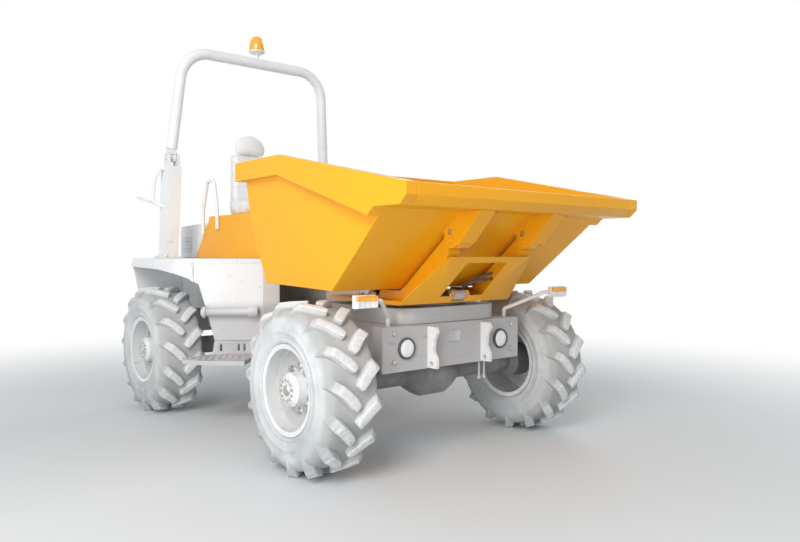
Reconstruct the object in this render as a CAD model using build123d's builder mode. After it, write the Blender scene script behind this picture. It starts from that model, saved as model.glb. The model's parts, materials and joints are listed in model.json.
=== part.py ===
from build123d import *
# Articulated site dumper with a swivel skip. Millimetres, forward is -Y, up is +Z, right-hand side is -X.
from math import cos, radians, sin, sqrt
import os

os.makedirs("parts", exist_ok=True)

# ---- driving sizes ----
wheelbase = 2430
track = 1966
lip_reach = 1010          # front axle to the skip's front lip
tail_reach = 760          # rear axle to the machine's tail
fit = 0.3                 # face to face gap between pieces of different bodies
mid = 0                   # the centre plane

front_axle_y = -(wheelbase + tail_reach - lip_reach) / 2
rear_axle_y = front_axle_y + wheelbase
lip_y = front_axle_y - lip_reach
tail_y = rear_axle_y + tail_reach

# ---- tyres and rims ----
tyre_r = 540
tyre_w = 392
lug_h = 38
lug_w = 74
lug_pitches = 15
lug_slant = 42
bead_r = 262
flange_r = 284
rim_w = 340
rim_wall = 10
disc_in = 72              # wheel centre plane to the disc's inner face
disc_t = 12
hub_r = 112
hub_out = 164             # wheel centre plane to the hub's outer face
nut_ring_r = 160
wheel_z = tyre_r

# ---- front chassis ----
plate_front_y = front_axle_y - 291
plate_t = 16
plate_half = 635
plate_low = 618
plate_top = 910
lamp_x = 440
lamp_z = 765
lamp_r = 66
slew_y = front_axle_y + 200
pedestal_half = 470
pedestal_h = 108
ring_r = 400
ring_bore_r = 330
ring_h = 26
axle_tube_r = 78
rail_rear_y = front_axle_y + 520
pivot_y = (front_axle_y + rear_axle_y) / 2 - 65
pivot_pin_r = 38

# ---- steering ram: from the neck's left flank to the rear chassis ----
steer_x = 300
steer_z = 605
steer_base_y = rail_rear_y + (pivot_y - rail_rear_y) * 8 / 21
steer_length = 640
steer_r = 25
steer_rod_r = 18
steer_eye_half = 26
steer_pin_r = 14

# ---- swivel frame ----
frame_base_t = 25
frame_half = 505
arm_x = 330
arm_w = 90
arm_wall = 12
pin_y = front_axle_y - 650
pin_z = 1462
pin_boss_r = 58
pin_r = 25
ram_z = 1094
ram_base_y = front_axle_y - 300
ram_length = 850
ram_r = 39
ram_rod_r = 25
ram_eye_r = 42

# ---- skip ----
skip_wall = 10
floor_front_y = front_axle_y - 156
floor_rear_y = front_axle_y + 646
floor_front_z = 1142
floor_rear_z = 1170
floor_half = 913
kink_y = front_axle_y + 793
kink_z = 1598
rim_z = 2012
apex_y = front_axle_y + 272
rim_rear_y = front_axle_y + 869
rim_half = 1050
rim_out = 45.65           # the rim bands' outer faces beyond the walls' inner line
side_lean = (rim_half - rim_out - floor_half) / (rim_z - floor_front_z)
lip_z = 1743
slope = 0.837             # rise of the front slope for each mm forward
rim_depth = 130
lip_depth = 118

# ---- rear chassis and body ----
deck_z = 1334
deck_t = 36
deck_front_y = rear_axle_y - 970
fender_half = 1060
tank_rear_y = rear_axle_y - 630
roll_x = 856
roll_y = rear_axle_y + 147
roll_hinge_z = 2250
hoop_top_z = 3270
console_half = 500
console_z = 1722


def save(piece, label):
    piece.part.label = label
    export_step(piece.part, f"parts/{label}.step")


def back(distance):
    """Y of a point this far behind the front axle."""
    return front_axle_y + distance


def aft(distance):
    """Y of a point this far behind the rear axle, or ahead of it where negative."""
    return rear_axle_y + distance


# ---- tyres: a solid carcass with slanted bars, and dished wheels with hub reductions ----
carcass_r = tyre_r - lug_h
half_w = tyre_w / 2
slant_cos, slant_sin = cos(radians(lug_slant)), sin(radians(lug_slant))
lug_start = 8
lug_end = (half_w - lug_w / 2 * slant_sin) / slant_cos
wheel_axis = Axis((0, 0, 0), (1, 0, 0))


def bar_point(s, r):
    """Point of a bar's outline: s along the bar, at radius r on its far edge."""
    return (s, sqrt(r * r - (s * slant_sin + lug_w / 2 * slant_cos) ** 2))


with BuildPart() as tyre_form:
    with BuildSketch(Plane.XZ):
        with BuildLine():
            Polyline((50 - half_w, carcass_r - 12), (12 - half_w, carcass_r - 60),
                     (-half_w, bead_r + 120), (14 - half_w, bead_r + 46),
                     (6 - rim_w / 2, flange_r), (rim_wall - rim_w / 2, bead_r),
                     (rim_w / 2 - rim_wall, bead_r), (rim_w / 2 - 6, flange_r),
                     (half_w - 14, bead_r + 46), (half_w, bead_r + 120),
                     (half_w - 12, carcass_r - 60), (half_w - 50, carcass_r - 12))
            ThreePointArc((half_w - 50, carcass_r - 12), (0, carcass_r), (50 - half_w, carcass_r - 12))
        make_face()
    revolve(axis=wheel_axis)
    for row in (-1, 1):
        for n in range(lug_pitches):
            turn = radians(360 / lug_pitches * (n + (0.5 if row > 0 else 0)))
            outward = Vector(0, -sin(turn), cos(turn))
            along = Vector(row * slant_cos, 0, 0) + Vector(0, cos(turn), sin(turn)) * slant_sin
            bar = Plane(origin=(0, 0, 0), x_dir=along, z_dir=along.cross(outward))
            with BuildSketch(bar):
                with BuildLine():
                    Polyline(bar_point(lug_start, carcass_r - 20), bar_point(lug_start, tyre_r),
                             bar_point(lug_end * 0.5, tyre_r), bar_point(lug_end - 36, tyre_r - 5),
                             bar_point(lug_end, tyre_r - 44), bar_point(lug_end, carcass_r - 66),
                             bar_point(lug_end - 66, carcass_r - 66), close=True)
                make_face()
            extrude(amount=lug_w / 2, both=True)

for end, axle_y in (("front", front_axle_y), ("rear", rear_axle_y)):
    for side, sx in (("left", 1), ("right", -1)):
        centre = Vector(sx * track / 2, axle_y, wheel_z)
        with BuildPart() as tyre:
            add(tyre_form.part.moved(Location(centre)))
        save(tyre, f"tyre_{end}_{side}")

        dish = Plane(origin=centre, x_dir=(sx, 0, 0), z_dir=(0, -sx, 0))
        hub_face = disc_in - 12
        with BuildPart() as rim:
            with BuildSketch(dish):
                with BuildLine():
                    Polyline((-rim_w / 2, bead_r - rim_wall), (disc_in, bead_r - rim_wall),
                             (disc_in, hub_r + 90), (hub_face, hub_r + 60), (hub_face, 0),
                             (hub_out, 0), (hub_out, hub_r - 34), (hub_out - 22, hub_r - 8),
                             (hub_face + disc_t, hub_r), (hub_face + disc_t, hub_r + 60),
                             (disc_in + disc_t, hub_r + 90), (disc_in + disc_t, bead_r - rim_wall),
                             (rim_w / 2, bead_r - rim_wall), (rim_w / 2 + 6, flange_r),
                             (rim_w / 2 - 6, flange_r), (rim_w / 2 - rim_wall, bead_r),
                             (rim_wall - rim_w / 2, bead_r), (6 - rim_w / 2, flange_r),
                             (-rim_w / 2 - 6, flange_r), close=True)
                make_face()
            revolve(axis=Axis(centre, (1, 0, 0)))
            with BuildSketch(Plane(origin=centre + Vector(sx * (hub_face + disc_t), 0, 0),
                                   z_dir=(sx, 0, 0))):
                with PolarLocations(nut_ring_r - 22, 10):
                    Circle(14)
            extrude(amount=20)
        save(rim, f"rim_{end}_{side}")

# ---- axles: tubes, a round differential housing and end flanges ----
axle_end = track / 2 + hub_face - fit
axle_profile = (          # distance from the middle, radius
    (0, 165), (95, 165), (150, 140), (250, axle_tube_r), (track / 2 - 190, axle_tube_r),
    (track / 2 - 150, 128), (axle_end - 60, 128), (axle_end - 60, 96), (axle_end, 96))

for end, axle_y, pad_top, pad_x in (("front", front_axle_y, plate_low, 450),
                                    ("rear", rear_axle_y, 650, 290)):
    with BuildPart() as axle:
        with BuildSketch(Plane(origin=(0, axle_y, wheel_z), x_dir=(1, 0, 0), z_dir=(0, -1, 0))):
            with BuildLine():
                Polyline((-axle_end, 0), *[(-x, r) for x, r in reversed(axle_profile)],
                         *axle_profile[1:], (axle_end, 0), close=True)
            make_face()
        revolve(axis=Axis((0, axle_y, wheel_z), (1, 0, 0)))
        with BuildSketch(Plane.XY.offset(wheel_z)):
            with Locations((-pad_x, axle_y), (pad_x, axle_y)):
                Rectangle(90, 150)
        extrude(amount=pad_top - wheel_z)
    save(axle, f"{end}_axle")

# ---- front chassis: open-bottomed box over the axle, a neck and the yoke of the centre pivot ----
rail_x = 450
rail_t = 20
neck_low, neck_top = 560, 880
ear_t = 60
ear_r = 105
plate_back_y = plate_front_y + plate_t
with BuildPart() as front_chassis:
    with BuildSketch(Plane.XY.offset(plate_top - rail_t)):
        with Locations((mid, (plate_back_y + rail_rear_y) / 2)):
            Rectangle(2 * rail_x + rail_t, rail_rear_y - plate_back_y)
    extrude(amount=rail_t)
    with BuildSketch(Plane.XY.offset(plate_low)):
        with Locations((-rail_x, (plate_back_y + rail_rear_y) / 2),
                       (rail_x, (plate_back_y + rail_rear_y) / 2)):
            Rectangle(rail_t, rail_rear_y - plate_back_y)
        with Locations((mid, rail_rear_y - rail_t / 2)):
            Rectangle(2 * rail_x, rail_t)
    extrude(amount=plate_top - plate_low - rail_t / 2)
    # the front cross-beam behind the plate
    with BuildSketch(Plane.XY.offset(plate_low + 30)):
        with Locations((mid, plate_back_y + 50)):
            Rectangle(2 * plate_half - 30, 100)
    extrude(amount=plate_top - plate_low - 30)
    # the neck, tapered in plan, and two ears round the centre pin
    with BuildSketch(Plane.XY.offset(neck_low)):
        with BuildLine():
            Polyline((-rail_x, rail_rear_y - rail_t), (rail_x, rail_rear_y - rail_t),
                     (ear_r, pivot_y - 190), (-ear_r, pivot_y - 190), close=True)
        make_face()
    extrude(amount=neck_top - neck_low)
    for low in (neck_low, neck_top - ear_t):
        with BuildSketch(Plane.XY.offset(low)):
            with Locations((mid, pivot_y - 100)):
                Rectangle(2 * ear_r, 200)
            with Locations((mid, pivot_y)):
                Circle(ear_r)
        extrude(amount=ear_t)
    with Locations(Location((mid, pivot_y, neck_low - 20))):
        Cylinder(pivot_pin_r, neck_top - neck_low + 40, align=(Align.CENTER, Align.CENTER, Align.MIN))
    # two plates and a pin for the steering ram's foot
    for low in (steer_z - steer_eye_half - 13, steer_z + steer_eye_half + 1):
        with BuildSketch(Plane.XY.offset(low)):
            with BuildLine():
                Polyline((steer_x - 110, steer_base_y - 40), (steer_x + 10, steer_base_y - 30),
                         (steer_x + 30, steer_base_y), (steer_x + 10, steer_base_y + 30),
                         (steer_x - 140, steer_base_y + 60), close=True)
            make_face()
        extrude(amount=12)
    with Locations(Location((steer_x, steer_base_y, steer_z))):
        Cylinder(steer_pin_r, 2 * steer_eye_half + 30)
save(front_chassis, "front_chassis")

# ---- front plate with its lamp openings and two tie-down brackets ----
bracket_x = 250
bracket_t = 24
eye_r = 16
eye_y = plate_front_y - 40
eye_z = plate_low + 36
with BuildPart() as front_plate:
    with BuildSketch(Plane.XZ.offset(-plate_back_y)):
        with Locations((mid, (plate_low + plate_top) / 2)):
            RectangleRounded(2 * plate_half, plate_top - plate_low, 12)
        with Locations((-lamp_x, lamp_z), (lamp_x, lamp_z)):
            Circle(lamp_r + 4, mode=Mode.SUBTRACT)
    extrude(amount=plate_t)
    for sx in (-1, 1):
        with BuildSketch(Plane.YZ.offset(sx * bracket_x - bracket_t / 2)):
            with BuildLine():
                Polyline((plate_front_y, plate_top - 14), (plate_front_y - 80, plate_top - 14),
                         (plate_front_y - 100, plate_top - 44), (plate_front_y - 68, plate_top - 100),
                         (plate_front_y - 60, plate_low + 120), (plate_front_y - 92, plate_low + 66),
                         (plate_front_y - 92, plate_low + 6), (plate_front_y, plate_low + 6), close=True)
            make_face()
            with Locations((eye_y, eye_z)):
                Circle(eye_r, mode=Mode.SUBTRACT)
        extrude(amount=bracket_t)
save(front_plate, "front_plate")

with BuildPart() as head_lamps:
    with BuildSketch(Plane.XZ.offset(-plate_back_y)):
        with Locations((-lamp_x, lamp_z), (lamp_x, lamp_z)):
            Circle(lamp_r)
    extrude(amount=plate_t + 22)
    fillet(head_lamps.faces().group_by(Axis.Y)[0].edges(), 12)
save(head_lamps, "head_lamps")

# ---- direction indicators on bent tube arms from the plate's top corners ----
arm_r = 14
indicator_x, indicator_y, indicator_z = 890, back(-455), 1092
indicator_size = (150, 56, 78)
with BuildPart() as indicator_arms:
    for sx in (-1, 1):
        with BuildLine() as arm_line:
            FilletPolyline((sx * 545, plate_back_y + 40, plate_top),
                           (sx * 545, plate_back_y + 40, plate_top + 60),
                           (sx * (indicator_x - 130), indicator_y + 20, indicator_z),
                           (sx * (indicator_x - indicator_size[0] / 2), indicator_y + 20, indicator_z),
                           radius=20)
        with BuildSketch(Plane(origin=arm_line.line @ 0, z_dir=arm_line.line % 0)):
            Circle(arm_r)
        sweep(path=arm_line.line)
save(indicator_arms, "indicator_arms")

with BuildPart() as indicators:
    for sx in (-1, 1):
        with BuildSketch(Plane(origin=(sx * indicator_x, indicator_y, indicator_z), x_dir=(1, 0, 0),
                               z_dir=(0, -1, 0))):
            RectangleRounded(indicator_size[0], indicator_size[2], 16)
        extrude(amount=indicator_size[1] / 2, both=True)
save(indicators, "indicators")

# ---- two lashing pins hanging under the plate ----
with BuildPart() as hanging_pins:
    for x in (268, 318):
        with Locations(Location((x, plate_back_y + 24, plate_low + 30 - 75))):
            Cylinder(8, 150)
        with Locations(Location((x, plate_back_y + 24, plate_low + 30 - 150))):
            Sphere(15)
save(hanging_pins, "hanging_pins")

# ---- slew pedestal and bearing ring ----
pedestal_top = plate_top + pedestal_h
ring_top = pedestal_top + ring_h
with BuildPart() as slew_ring:
    with BuildSketch(Plane.XY.offset(plate_top)):
        with Locations((mid, slew_y)):
            RectangleRounded(2 * pedestal_half, 2 * pedestal_half, 150)
            Circle(ring_bore_r, mode=Mode.SUBTRACT)
    extrude(amount=pedestal_h)
    with BuildSketch(Plane.XY.offset(pedestal_top)):
        with Locations((mid, slew_y)):
            Circle(ring_r)
            Circle(ring_bore_r, mode=Mode.SUBTRACT)
    extrude(amount=ring_h)
save(slew_ring, "slew_ring")

# ---- swivel frame: base plate with a slot for the ram, two arms and a windowed front panel ----
frame_z = ring_top + fit
frame_front_y = back(-300)
frame_rear_y = back(640)
frame_top = frame_z + frame_base_t
ram_eye_y = ram_base_y + ram_length
slot_half = 62
panel_lean = 1.08         # forward run of the sloping panel for each mm up
panel_top = 1352
window_half = 200


def panel_y(z):
    """Front face of the sloping panel at this height."""
    return frame_front_y - panel_lean * (z - frame_z)


def slope_y(z):
    """Underside of the skip's front slope at this height."""
    return floor_front_y - (z - floor_front_z) / slope


with BuildPart() as swivel_frame:
    with BuildSketch(Plane.XY.offset(frame_z)):
        with BuildLine():
            Polyline((-frame_half, frame_front_y), (frame_half, frame_front_y), (frame_half, back(160)),
                     (400, frame_rear_y), (-400, frame_rear_y), (-frame_half, back(160)), close=True)
        make_face()
        with Locations((mid, (ram_base_y + ram_eye_y) / 2)):
            Rectangle(2 * slot_half, ram_length + 100, mode=Mode.SUBTRACT)
    extrude(amount=frame_base_t)
    for sx in (-1, 1):
        # one arm: side profile from the base plate up to the pin boss
        with BuildSketch(Plane.YZ.offset(sx * arm_x - arm_w / 2)):
            with BuildLine():
                Polyline((frame_front_y, frame_z), (panel_y(panel_top - 50), panel_top - 50),
                         (pin_y + 34, pin_z - 80), (pin_y + 46, pin_z - 30), (pin_y, pin_z),
                         (pin_y + 38, pin_z + 36), (slope_y(floor_front_z + 50) - 6, floor_front_z + 34),
                         (back(-150), floor_front_z - 14), (back(60), floor_front_z - 14),
                         (back(90), frame_top), (back(90), frame_z), close=True)
            make_face()
            with Locations((pin_y, pin_z)):
                Circle(pin_boss_r)
                Circle(pin_r + fit, mode=Mode.SUBTRACT)
        extrude(amount=arm_w)
    # the front panel, cut away on a slant outside the arms, with a window between them
    with BuildSketch(Plane.YZ.offset(-frame_half)):
        with BuildLine():
            Polyline((frame_front_y, frame_z), (panel_y(panel_top), panel_top),
                     (panel_y(panel_top) + arm_wall, panel_top), (frame_front_y + arm_wall, frame_z),
                     close=True)
        make_face()
    extrude(amount=2 * frame_half)
    with BuildSketch(Plane.XZ.offset(-frame_front_y)):
        for sx in (-1, 1):
            with BuildLine():
                Polyline((sx * (frame_half + 1), frame_top), (sx * (frame_half + 1), panel_top + 1),
                         (sx * (arm_x + arm_w / 2), panel_top + 1), close=True)
            make_face()
        with BuildLine():
            Polyline((-window_half, frame_top + 22), (-slot_half, frame_top + 22), (-slot_half, frame_z + 8),
                     (slot_half, frame_z + 8), (slot_half, frame_top + 22), (window_half, frame_top + 22),
                     (window_half - 10, panel_top - 38), (10 - window_half, panel_top - 38), close=True)
        make_face()
    extrude(amount=500, mode=Mode.SUBTRACT)
    # two ears and a pin for the ram's foot
    for sx in (-1, 1):
        with BuildSketch(Plane.YZ.offset(sx * (slot_half + 8) - 10)):
            with BuildLine():
                Polyline((ram_base_y + 10, frame_z), (ram_base_y + 90, frame_z),
                         (ram_base_y + 40, ram_z + 30),
                         (ram_base_y - 34, ram_z + 30), (ram_base_y - 34, ram_z - 6), close=True)
            make_face()
        extrude(amount=20)
    with Locations(Location((mid, ram_base_y, ram_z), (0, 90, 0))):
        Cylinder(20, 2 * slot_half + 36)
save(swivel_frame, "swivel_frame")

# ---- tipping ram: lies under the skip's floor, foot at the front, rod's eye at the rear ----
eye_half = slot_half - 7
with BuildPart() as tip_barrel:
    with Locations(Location((mid, ram_base_y, ram_z), (0, 90, 0))):
        Cylinder(ram_eye_r - 8, 2 * eye_half)
    with Locations(Location((mid, ram_base_y + 30, ram_z), (-90, 0, 0))):
        Cylinder(ram_r, ram_length - 130, align=(Align.CENTER, Align.CENTER, Align.MIN))
    with Locations(Location((mid, ram_base_y, ram_z), (0, 90, 0))):
        Cylinder(20 + fit, 2 * eye_half, mode=Mode.SUBTRACT)
    with Locations(Location((mid, ram_base_y + 60, ram_z), (-90, 0, 0))):
        Cylinder(ram_rod_r + fit, ram_length, align=(Align.CENTER, Align.CENTER, Align.MIN),
                 mode=Mode.SUBTRACT)
save(tip_barrel, "tip_barrel")

with BuildPart() as tip_rod:
    with Locations(Location((mid, ram_base_y + 60 + fit, ram_z), (-90, 0, 0))):
        Cylinder(ram_rod_r, ram_length - 60 - fit, align=(Align.CENTER, Align.CENTER, Align.MIN))
    with Locations(Location((mid, ram_eye_y, ram_z), (0, 90, 0))):
        Cylinder(ram_eye_r - 6, 2 * eye_half)
save(tip_rod, "tip_rod")

# ---- skip: floor and slope, back, two sides with their rim bands, the front lip and the two ribs ----
slope_len = sqrt(1 + slope * slope)
rim_low = rim_z - rim_depth
lip_low = lip_z - lip_depth


def wall_x(z, out=0):
    """Half width between the leaning side walls at this height, plus a distance outwards."""
    return floor_half + side_lean * (z - floor_front_z) + out


def between_walls(out=0):
    """Prism of the space between the side walls, to trim pieces that end on them."""
    low, high = floor_front_z - 200, rim_z + 50
    with BuildPart(mode=Mode.PRIVATE) as prism:
        with BuildSketch(Plane.XZ.offset(-(rim_rear_y + 50))):
            with BuildLine():
                Polyline((-wall_x(low, out), low), (wall_x(low, out), low),
                         (wall_x(high, out), high), (-wall_x(high, out), high), close=True)
            make_face()
        extrude(amount=rim_rear_y - lip_y + 100)
    return prism.part


inside = between_walls()
outside = between_walls(skip_wall)

with BuildPart() as skip_floor:
    with BuildSketch(Plane.YZ.offset(-rim_half)):
        with BuildLine():
            Polyline((floor_rear_y, floor_rear_z), (floor_front_y, floor_front_z), (slope_y(lip_z), lip_z),
                     (slope_y(lip_z) + skip_wall * slope_len / slope, lip_z),
                     (floor_front_y + skip_wall * (slope_len - 1) / slope, floor_front_z + skip_wall),
                     (floor_rear_y, floor_rear_z + skip_wall), close=True)
        make_face()
    extrude(amount=2 * rim_half)
    add(inside, mode=Mode.INTERSECT)
save(skip_floor, "skip_floor")

with BuildPart() as skip_back:
    with BuildSketch(Plane.YZ.offset(-rim_half)):
        with BuildLine():
            Polyline((floor_rear_y, floor_rear_z + skip_wall), (kink_y, kink_z), (kink_y, rim_low),
                     (rim_rear_y, rim_low), (rim_rear_y, rim_z), (kink_y - skip_wall, rim_z),
                     (kink_y - skip_wall, kink_z), (floor_rear_y - skip_wall, floor_rear_z + skip_wall),
                     close=True)
        make_face()
    extrude(amount=2 * rim_half)
    add(inside, mode=Mode.INTERSECT)
save(skip_back, "skip_back")

with BuildPart() as skip_lip:
    with BuildSketch(Plane.YZ.offset(-rim_half)):
        with BuildLine():
            Polyline((slope_y(lip_z), lip_z), (lip_y, lip_z), (lip_y, lip_z - 68), (lip_y + 55, lip_low),
                     (slope_y(lip_low), lip_low), close=True)
        make_face()
    extrude(amount=2 * rim_half)
    add(inside, mode=Mode.INTERSECT)
save(skip_lip, "skip_lip")

for side, sx in (("left", 1), ("right", -1)):
    with BuildPart() as skip_side:
        with BuildSketch(Plane.YZ):
            with BuildLine():
                Polyline((floor_rear_y, floor_rear_z), (kink_y, kink_z), (kink_y, rim_z), (apex_y, rim_z),
                         (slope_y(lip_z), lip_z), (floor_front_y, floor_front_z), close=True)
            make_face()
        extrude(amount=sx * rim_half)
        add(outside, mode=Mode.INTERSECT)
        with BuildSketch(Plane.YZ):
            with BuildLine():
                Polyline((rim_rear_y, rim_z), (apex_y, rim_z), (lip_y, lip_z), (lip_y, lip_z - 68),
                         (lip_y + 55, lip_low), (slope_y(lip_low), lip_low),
                         (slope_y(lip_low - 45), lip_low - 45),
                         (apex_y + 20, rim_low), (rim_rear_y, rim_low), close=True)
            make_face()
        extrude(amount=sx * rim_half)
        add(inside, mode=Mode.SUBTRACT)
    save(skip_side, f"skip_side_{side}")

rib_t = 12
rib_gap = 6
rib_inner = arm_w / 2 + rib_gap
rib_foot = Vector(0, pin_y, pin_z) + Vector(0, -78, -28)
with BuildPart() as skip_ribs:
    for sx in (-1, 1):
        for face_x in (sx * arm_x - rib_inner - rib_t, sx * arm_x + rib_inner):
            with BuildSketch(Plane.YZ.offset(face_x)):
                with BuildLine():
                    Polyline((slope_y(lip_low), lip_low), (back(-905), lip_low), (rib_foot.Y, rib_foot.Z),
                             (pin_y - 12, pin_z - pin_boss_r + 2), (pin_y + pin_boss_r * 0.8, pin_z),
                             (slope_y(pin_z + 40), pin_z + 40), close=True)
                make_face()
                with Locations((pin_y, pin_z)):
                    Circle(pin_boss_r)
            extrude(amount=rib_t)
        # the flange that closes each rib in front
        with BuildSketch(Plane.YZ.offset(sx * arm_x - rib_inner - rib_t)):
            with BuildLine():
                Polyline((back(-905), lip_low), (rib_foot.Y, rib_foot.Z), (rib_foot.Y + 12, rib_foot.Z + 12),
                         (back(-905) + 24, lip_low), close=True)
            make_face()
        extrude(amount=2 * (rib_inner + rib_t))
        with Locations(Location((sx * arm_x, pin_y, pin_z), (0, 90, 0))):
            Cylinder(pin_r, 2 * (rib_inner + rib_t) + 24)
    # two lugs under the floor for the rod's eye
    for sx in (-1, 1):
        with BuildSketch(Plane.YZ.offset(sx * (slot_half + 8) - 9)):
            with BuildLine():
                Polyline((ram_eye_y - 70, floor_front_z + 8), (ram_eye_y - 22, frame_top + 7),
                         (ram_eye_y + 22, frame_top + 7), (ram_eye_y + 70, floor_rear_z + 8), close=True)
            make_face()
        extrude(amount=18)
    add(skip_floor.part, mode=Mode.SUBTRACT)
save(skip_ribs, "skip_ribs")

# ---- steering ram ----
steer_eye_y = steer_base_y + steer_length
with BuildPart() as steer_barrel:
    with Locations(Location((steer_x, steer_base_y, steer_z))):
        Cylinder(steer_eye_half, 2 * steer_eye_half)
    with Locations(Location((steer_x, steer_base_y + 20, steer_z), (-90, 0, 0))):
        Cylinder(steer_r, 405, align=(Align.CENTER, Align.CENTER, Align.MIN))
    with Locations(Location((steer_x, steer_base_y, steer_z))):
        Cylinder(steer_pin_r + fit, 2 * steer_eye_half + 2, mode=Mode.SUBTRACT)
    with Locations(Location((steer_x, steer_base_y + 50, steer_z), (-90, 0, 0))):
        Cylinder(steer_rod_r + fit, 400, align=(Align.CENTER, Align.CENTER, Align.MIN), mode=Mode.SUBTRACT)
save(steer_barrel, "steer_barrel")

with BuildPart() as steer_rod:
    with Locations(Location((steer_x, steer_base_y + 230, steer_z), (-90, 0, 0))):
        Cylinder(steer_rod_r, steer_length - 230, align=(Align.CENTER, Align.CENTER, Align.MIN))
    with Locations(Location((steer_x, steer_eye_y, steer_z))):
        Cylinder(steer_eye_half, 2 * steer_eye_half)
save(steer_rod, "steer_rod")

# ---- rear chassis: nose on the centre pin, two rails, cross-members and the tail weight ----
nose_low, nose_top = neck_low + ear_t + 6, neck_top - ear_t - 6
nose_r = 95
rear_rail_low, rear_rail_top = 650, 850
rear_rail_x, rear_rail_w = 290, 70
cross_y = pivot_y + 95
rail_front_y = min(aft(-1030), steer_eye_y)     # far enough forward to carry the ram's bracket
weight_front_y = tail_y - 240
weight_rear_y = tail_y - 90
weight_half = 468
with BuildPart() as rear_chassis:
    with BuildSketch(Plane.XY.offset(nose_low)):
        with Locations((mid, pivot_y)):
            Circle(nose_r)
        with BuildLine():
            Polyline((-nose_r, pivot_y), (nose_r, pivot_y), (nose_r, cross_y + 60),
                     (-nose_r, cross_y + 60), close=True)
        make_face()
    extrude(amount=nose_top - nose_low)
    with BuildSketch(Plane.XY.offset(rear_rail_low)):
        with BuildLine():
            Polyline((-nose_r, cross_y), (nose_r, cross_y), (rear_rail_x + rear_rail_w / 2, rail_front_y),
                     (rear_rail_x + rear_rail_w / 2, rail_front_y + 90),
                     (-rear_rail_x - rear_rail_w / 2, rail_front_y + 90),
                     (-rear_rail_x - rear_rail_w / 2, rail_front_y), close=True)
        make_face()
    extrude(amount=nose_top - rear_rail_low)
    with BuildSketch(Plane.XY.offset(rear_rail_low)):
        for sx in (-1, 1):
            with Locations((sx * rear_rail_x, (rail_front_y + weight_front_y) / 2 + 20)):
                Rectangle(rear_rail_w, weight_front_y - rail_front_y - 40)
    extrude(amount=rear_rail_top - rear_rail_low)
    with Locations(Location((mid, pivot_y, nose_low))):
        Cylinder(pivot_pin_r + fit, 2 * (nose_top - nose_low), mode=Mode.SUBTRACT)
    # bracket of the steering ram's rod eye
    with BuildSketch(Plane.YZ.offset(steer_x - 45)):
        with BuildLine():
            Polyline((steer_eye_y - 45, steer_z - steer_eye_half - 18),
                     (steer_eye_y + 100, steer_z - steer_eye_half - 18),
                     (steer_eye_y + 100, rear_rail_low), (steer_eye_y + 84, rear_rail_low),
                     (steer_eye_y + 84, steer_z - steer_eye_half - 6),
                     (steer_eye_y - 45, steer_z - steer_eye_half - 6),
                     close=True)
        make_face()
    extrude(amount=70)
save(rear_chassis, "rear_chassis")

# ---- tail weight with the tow jaw and its vertical pin bore ----
jaw_half = 55
tow_bore_r = 16
tow_y = tail_y - 36
with BuildPart() as tail_weight:
    with BuildSketch(Plane.YZ.offset(-weight_half)):
        with BuildLine():
            Polyline((weight_front_y + fit, rear_rail_low - 40), (weight_front_y + fit, deck_z - deck_t),
                     (weight_rear_y, deck_z - deck_t), (weight_rear_y, 690),
                     (weight_rear_y - 60, rear_rail_low - 40),
                     close=True)
        make_face()
    extrude(amount=2 * weight_half)
    with BuildSketch(Plane.YZ.offset(-jaw_half)):
        with BuildLine():
            Polyline((weight_rear_y - 30, 700), (tail_y, 700), (tail_y, 725), (weight_rear_y + 16, 725),
                     (weight_rear_y + 16, 785), (tail_y, 785), (tail_y, 810), (weight_rear_y - 30, 810),
                     close=True)
        make_face()
    extrude(amount=2 * jaw_half)
    with Locations(Location((mid, tow_y, 755))):
        Cylinder(tow_bore_r, 200, mode=Mode.SUBTRACT)
save(tail_weight, "tail_weight")

# ---- engine: one plain block between the rails ----
with BuildPart() as engine:
    with BuildSketch(Plane.XY.offset(rear_rail_low + 76)):
        with Locations((mid, aft(210))):
            Rectangle(2 * rear_rail_x - rear_rail_w, 560)
    extrude(amount=510)
save(engine, "engine")

# ---- the body's angled flanks: a vertical plane on each side, running outwards and rearwards ----
flank_foot = Vector(500, deck_front_y + 10, 0)
flank_end = Vector(980, aft(-680), 0)
flank_len = (flank_end - flank_foot).length
flank_low = 660


def flank_plane(sx):
    """Sketch plane on a flank: X runs outwards along it from its front corner, Y is height."""
    along = (flank_end - flank_foot).normalized()
    return Plane(origin=(sx * flank_foot.X, flank_foot.Y, 0), x_dir=(sx * along.X, along.Y, 0),
                 z_dir=(along.Y, -sx * along.X, 0))


def flank_point(sx, s):
    """Plan position of a point this far along a flank."""
    point = flank_foot + (flank_end - flank_foot).normalized() * s
    return (sx * point.X, point.Y)


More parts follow.
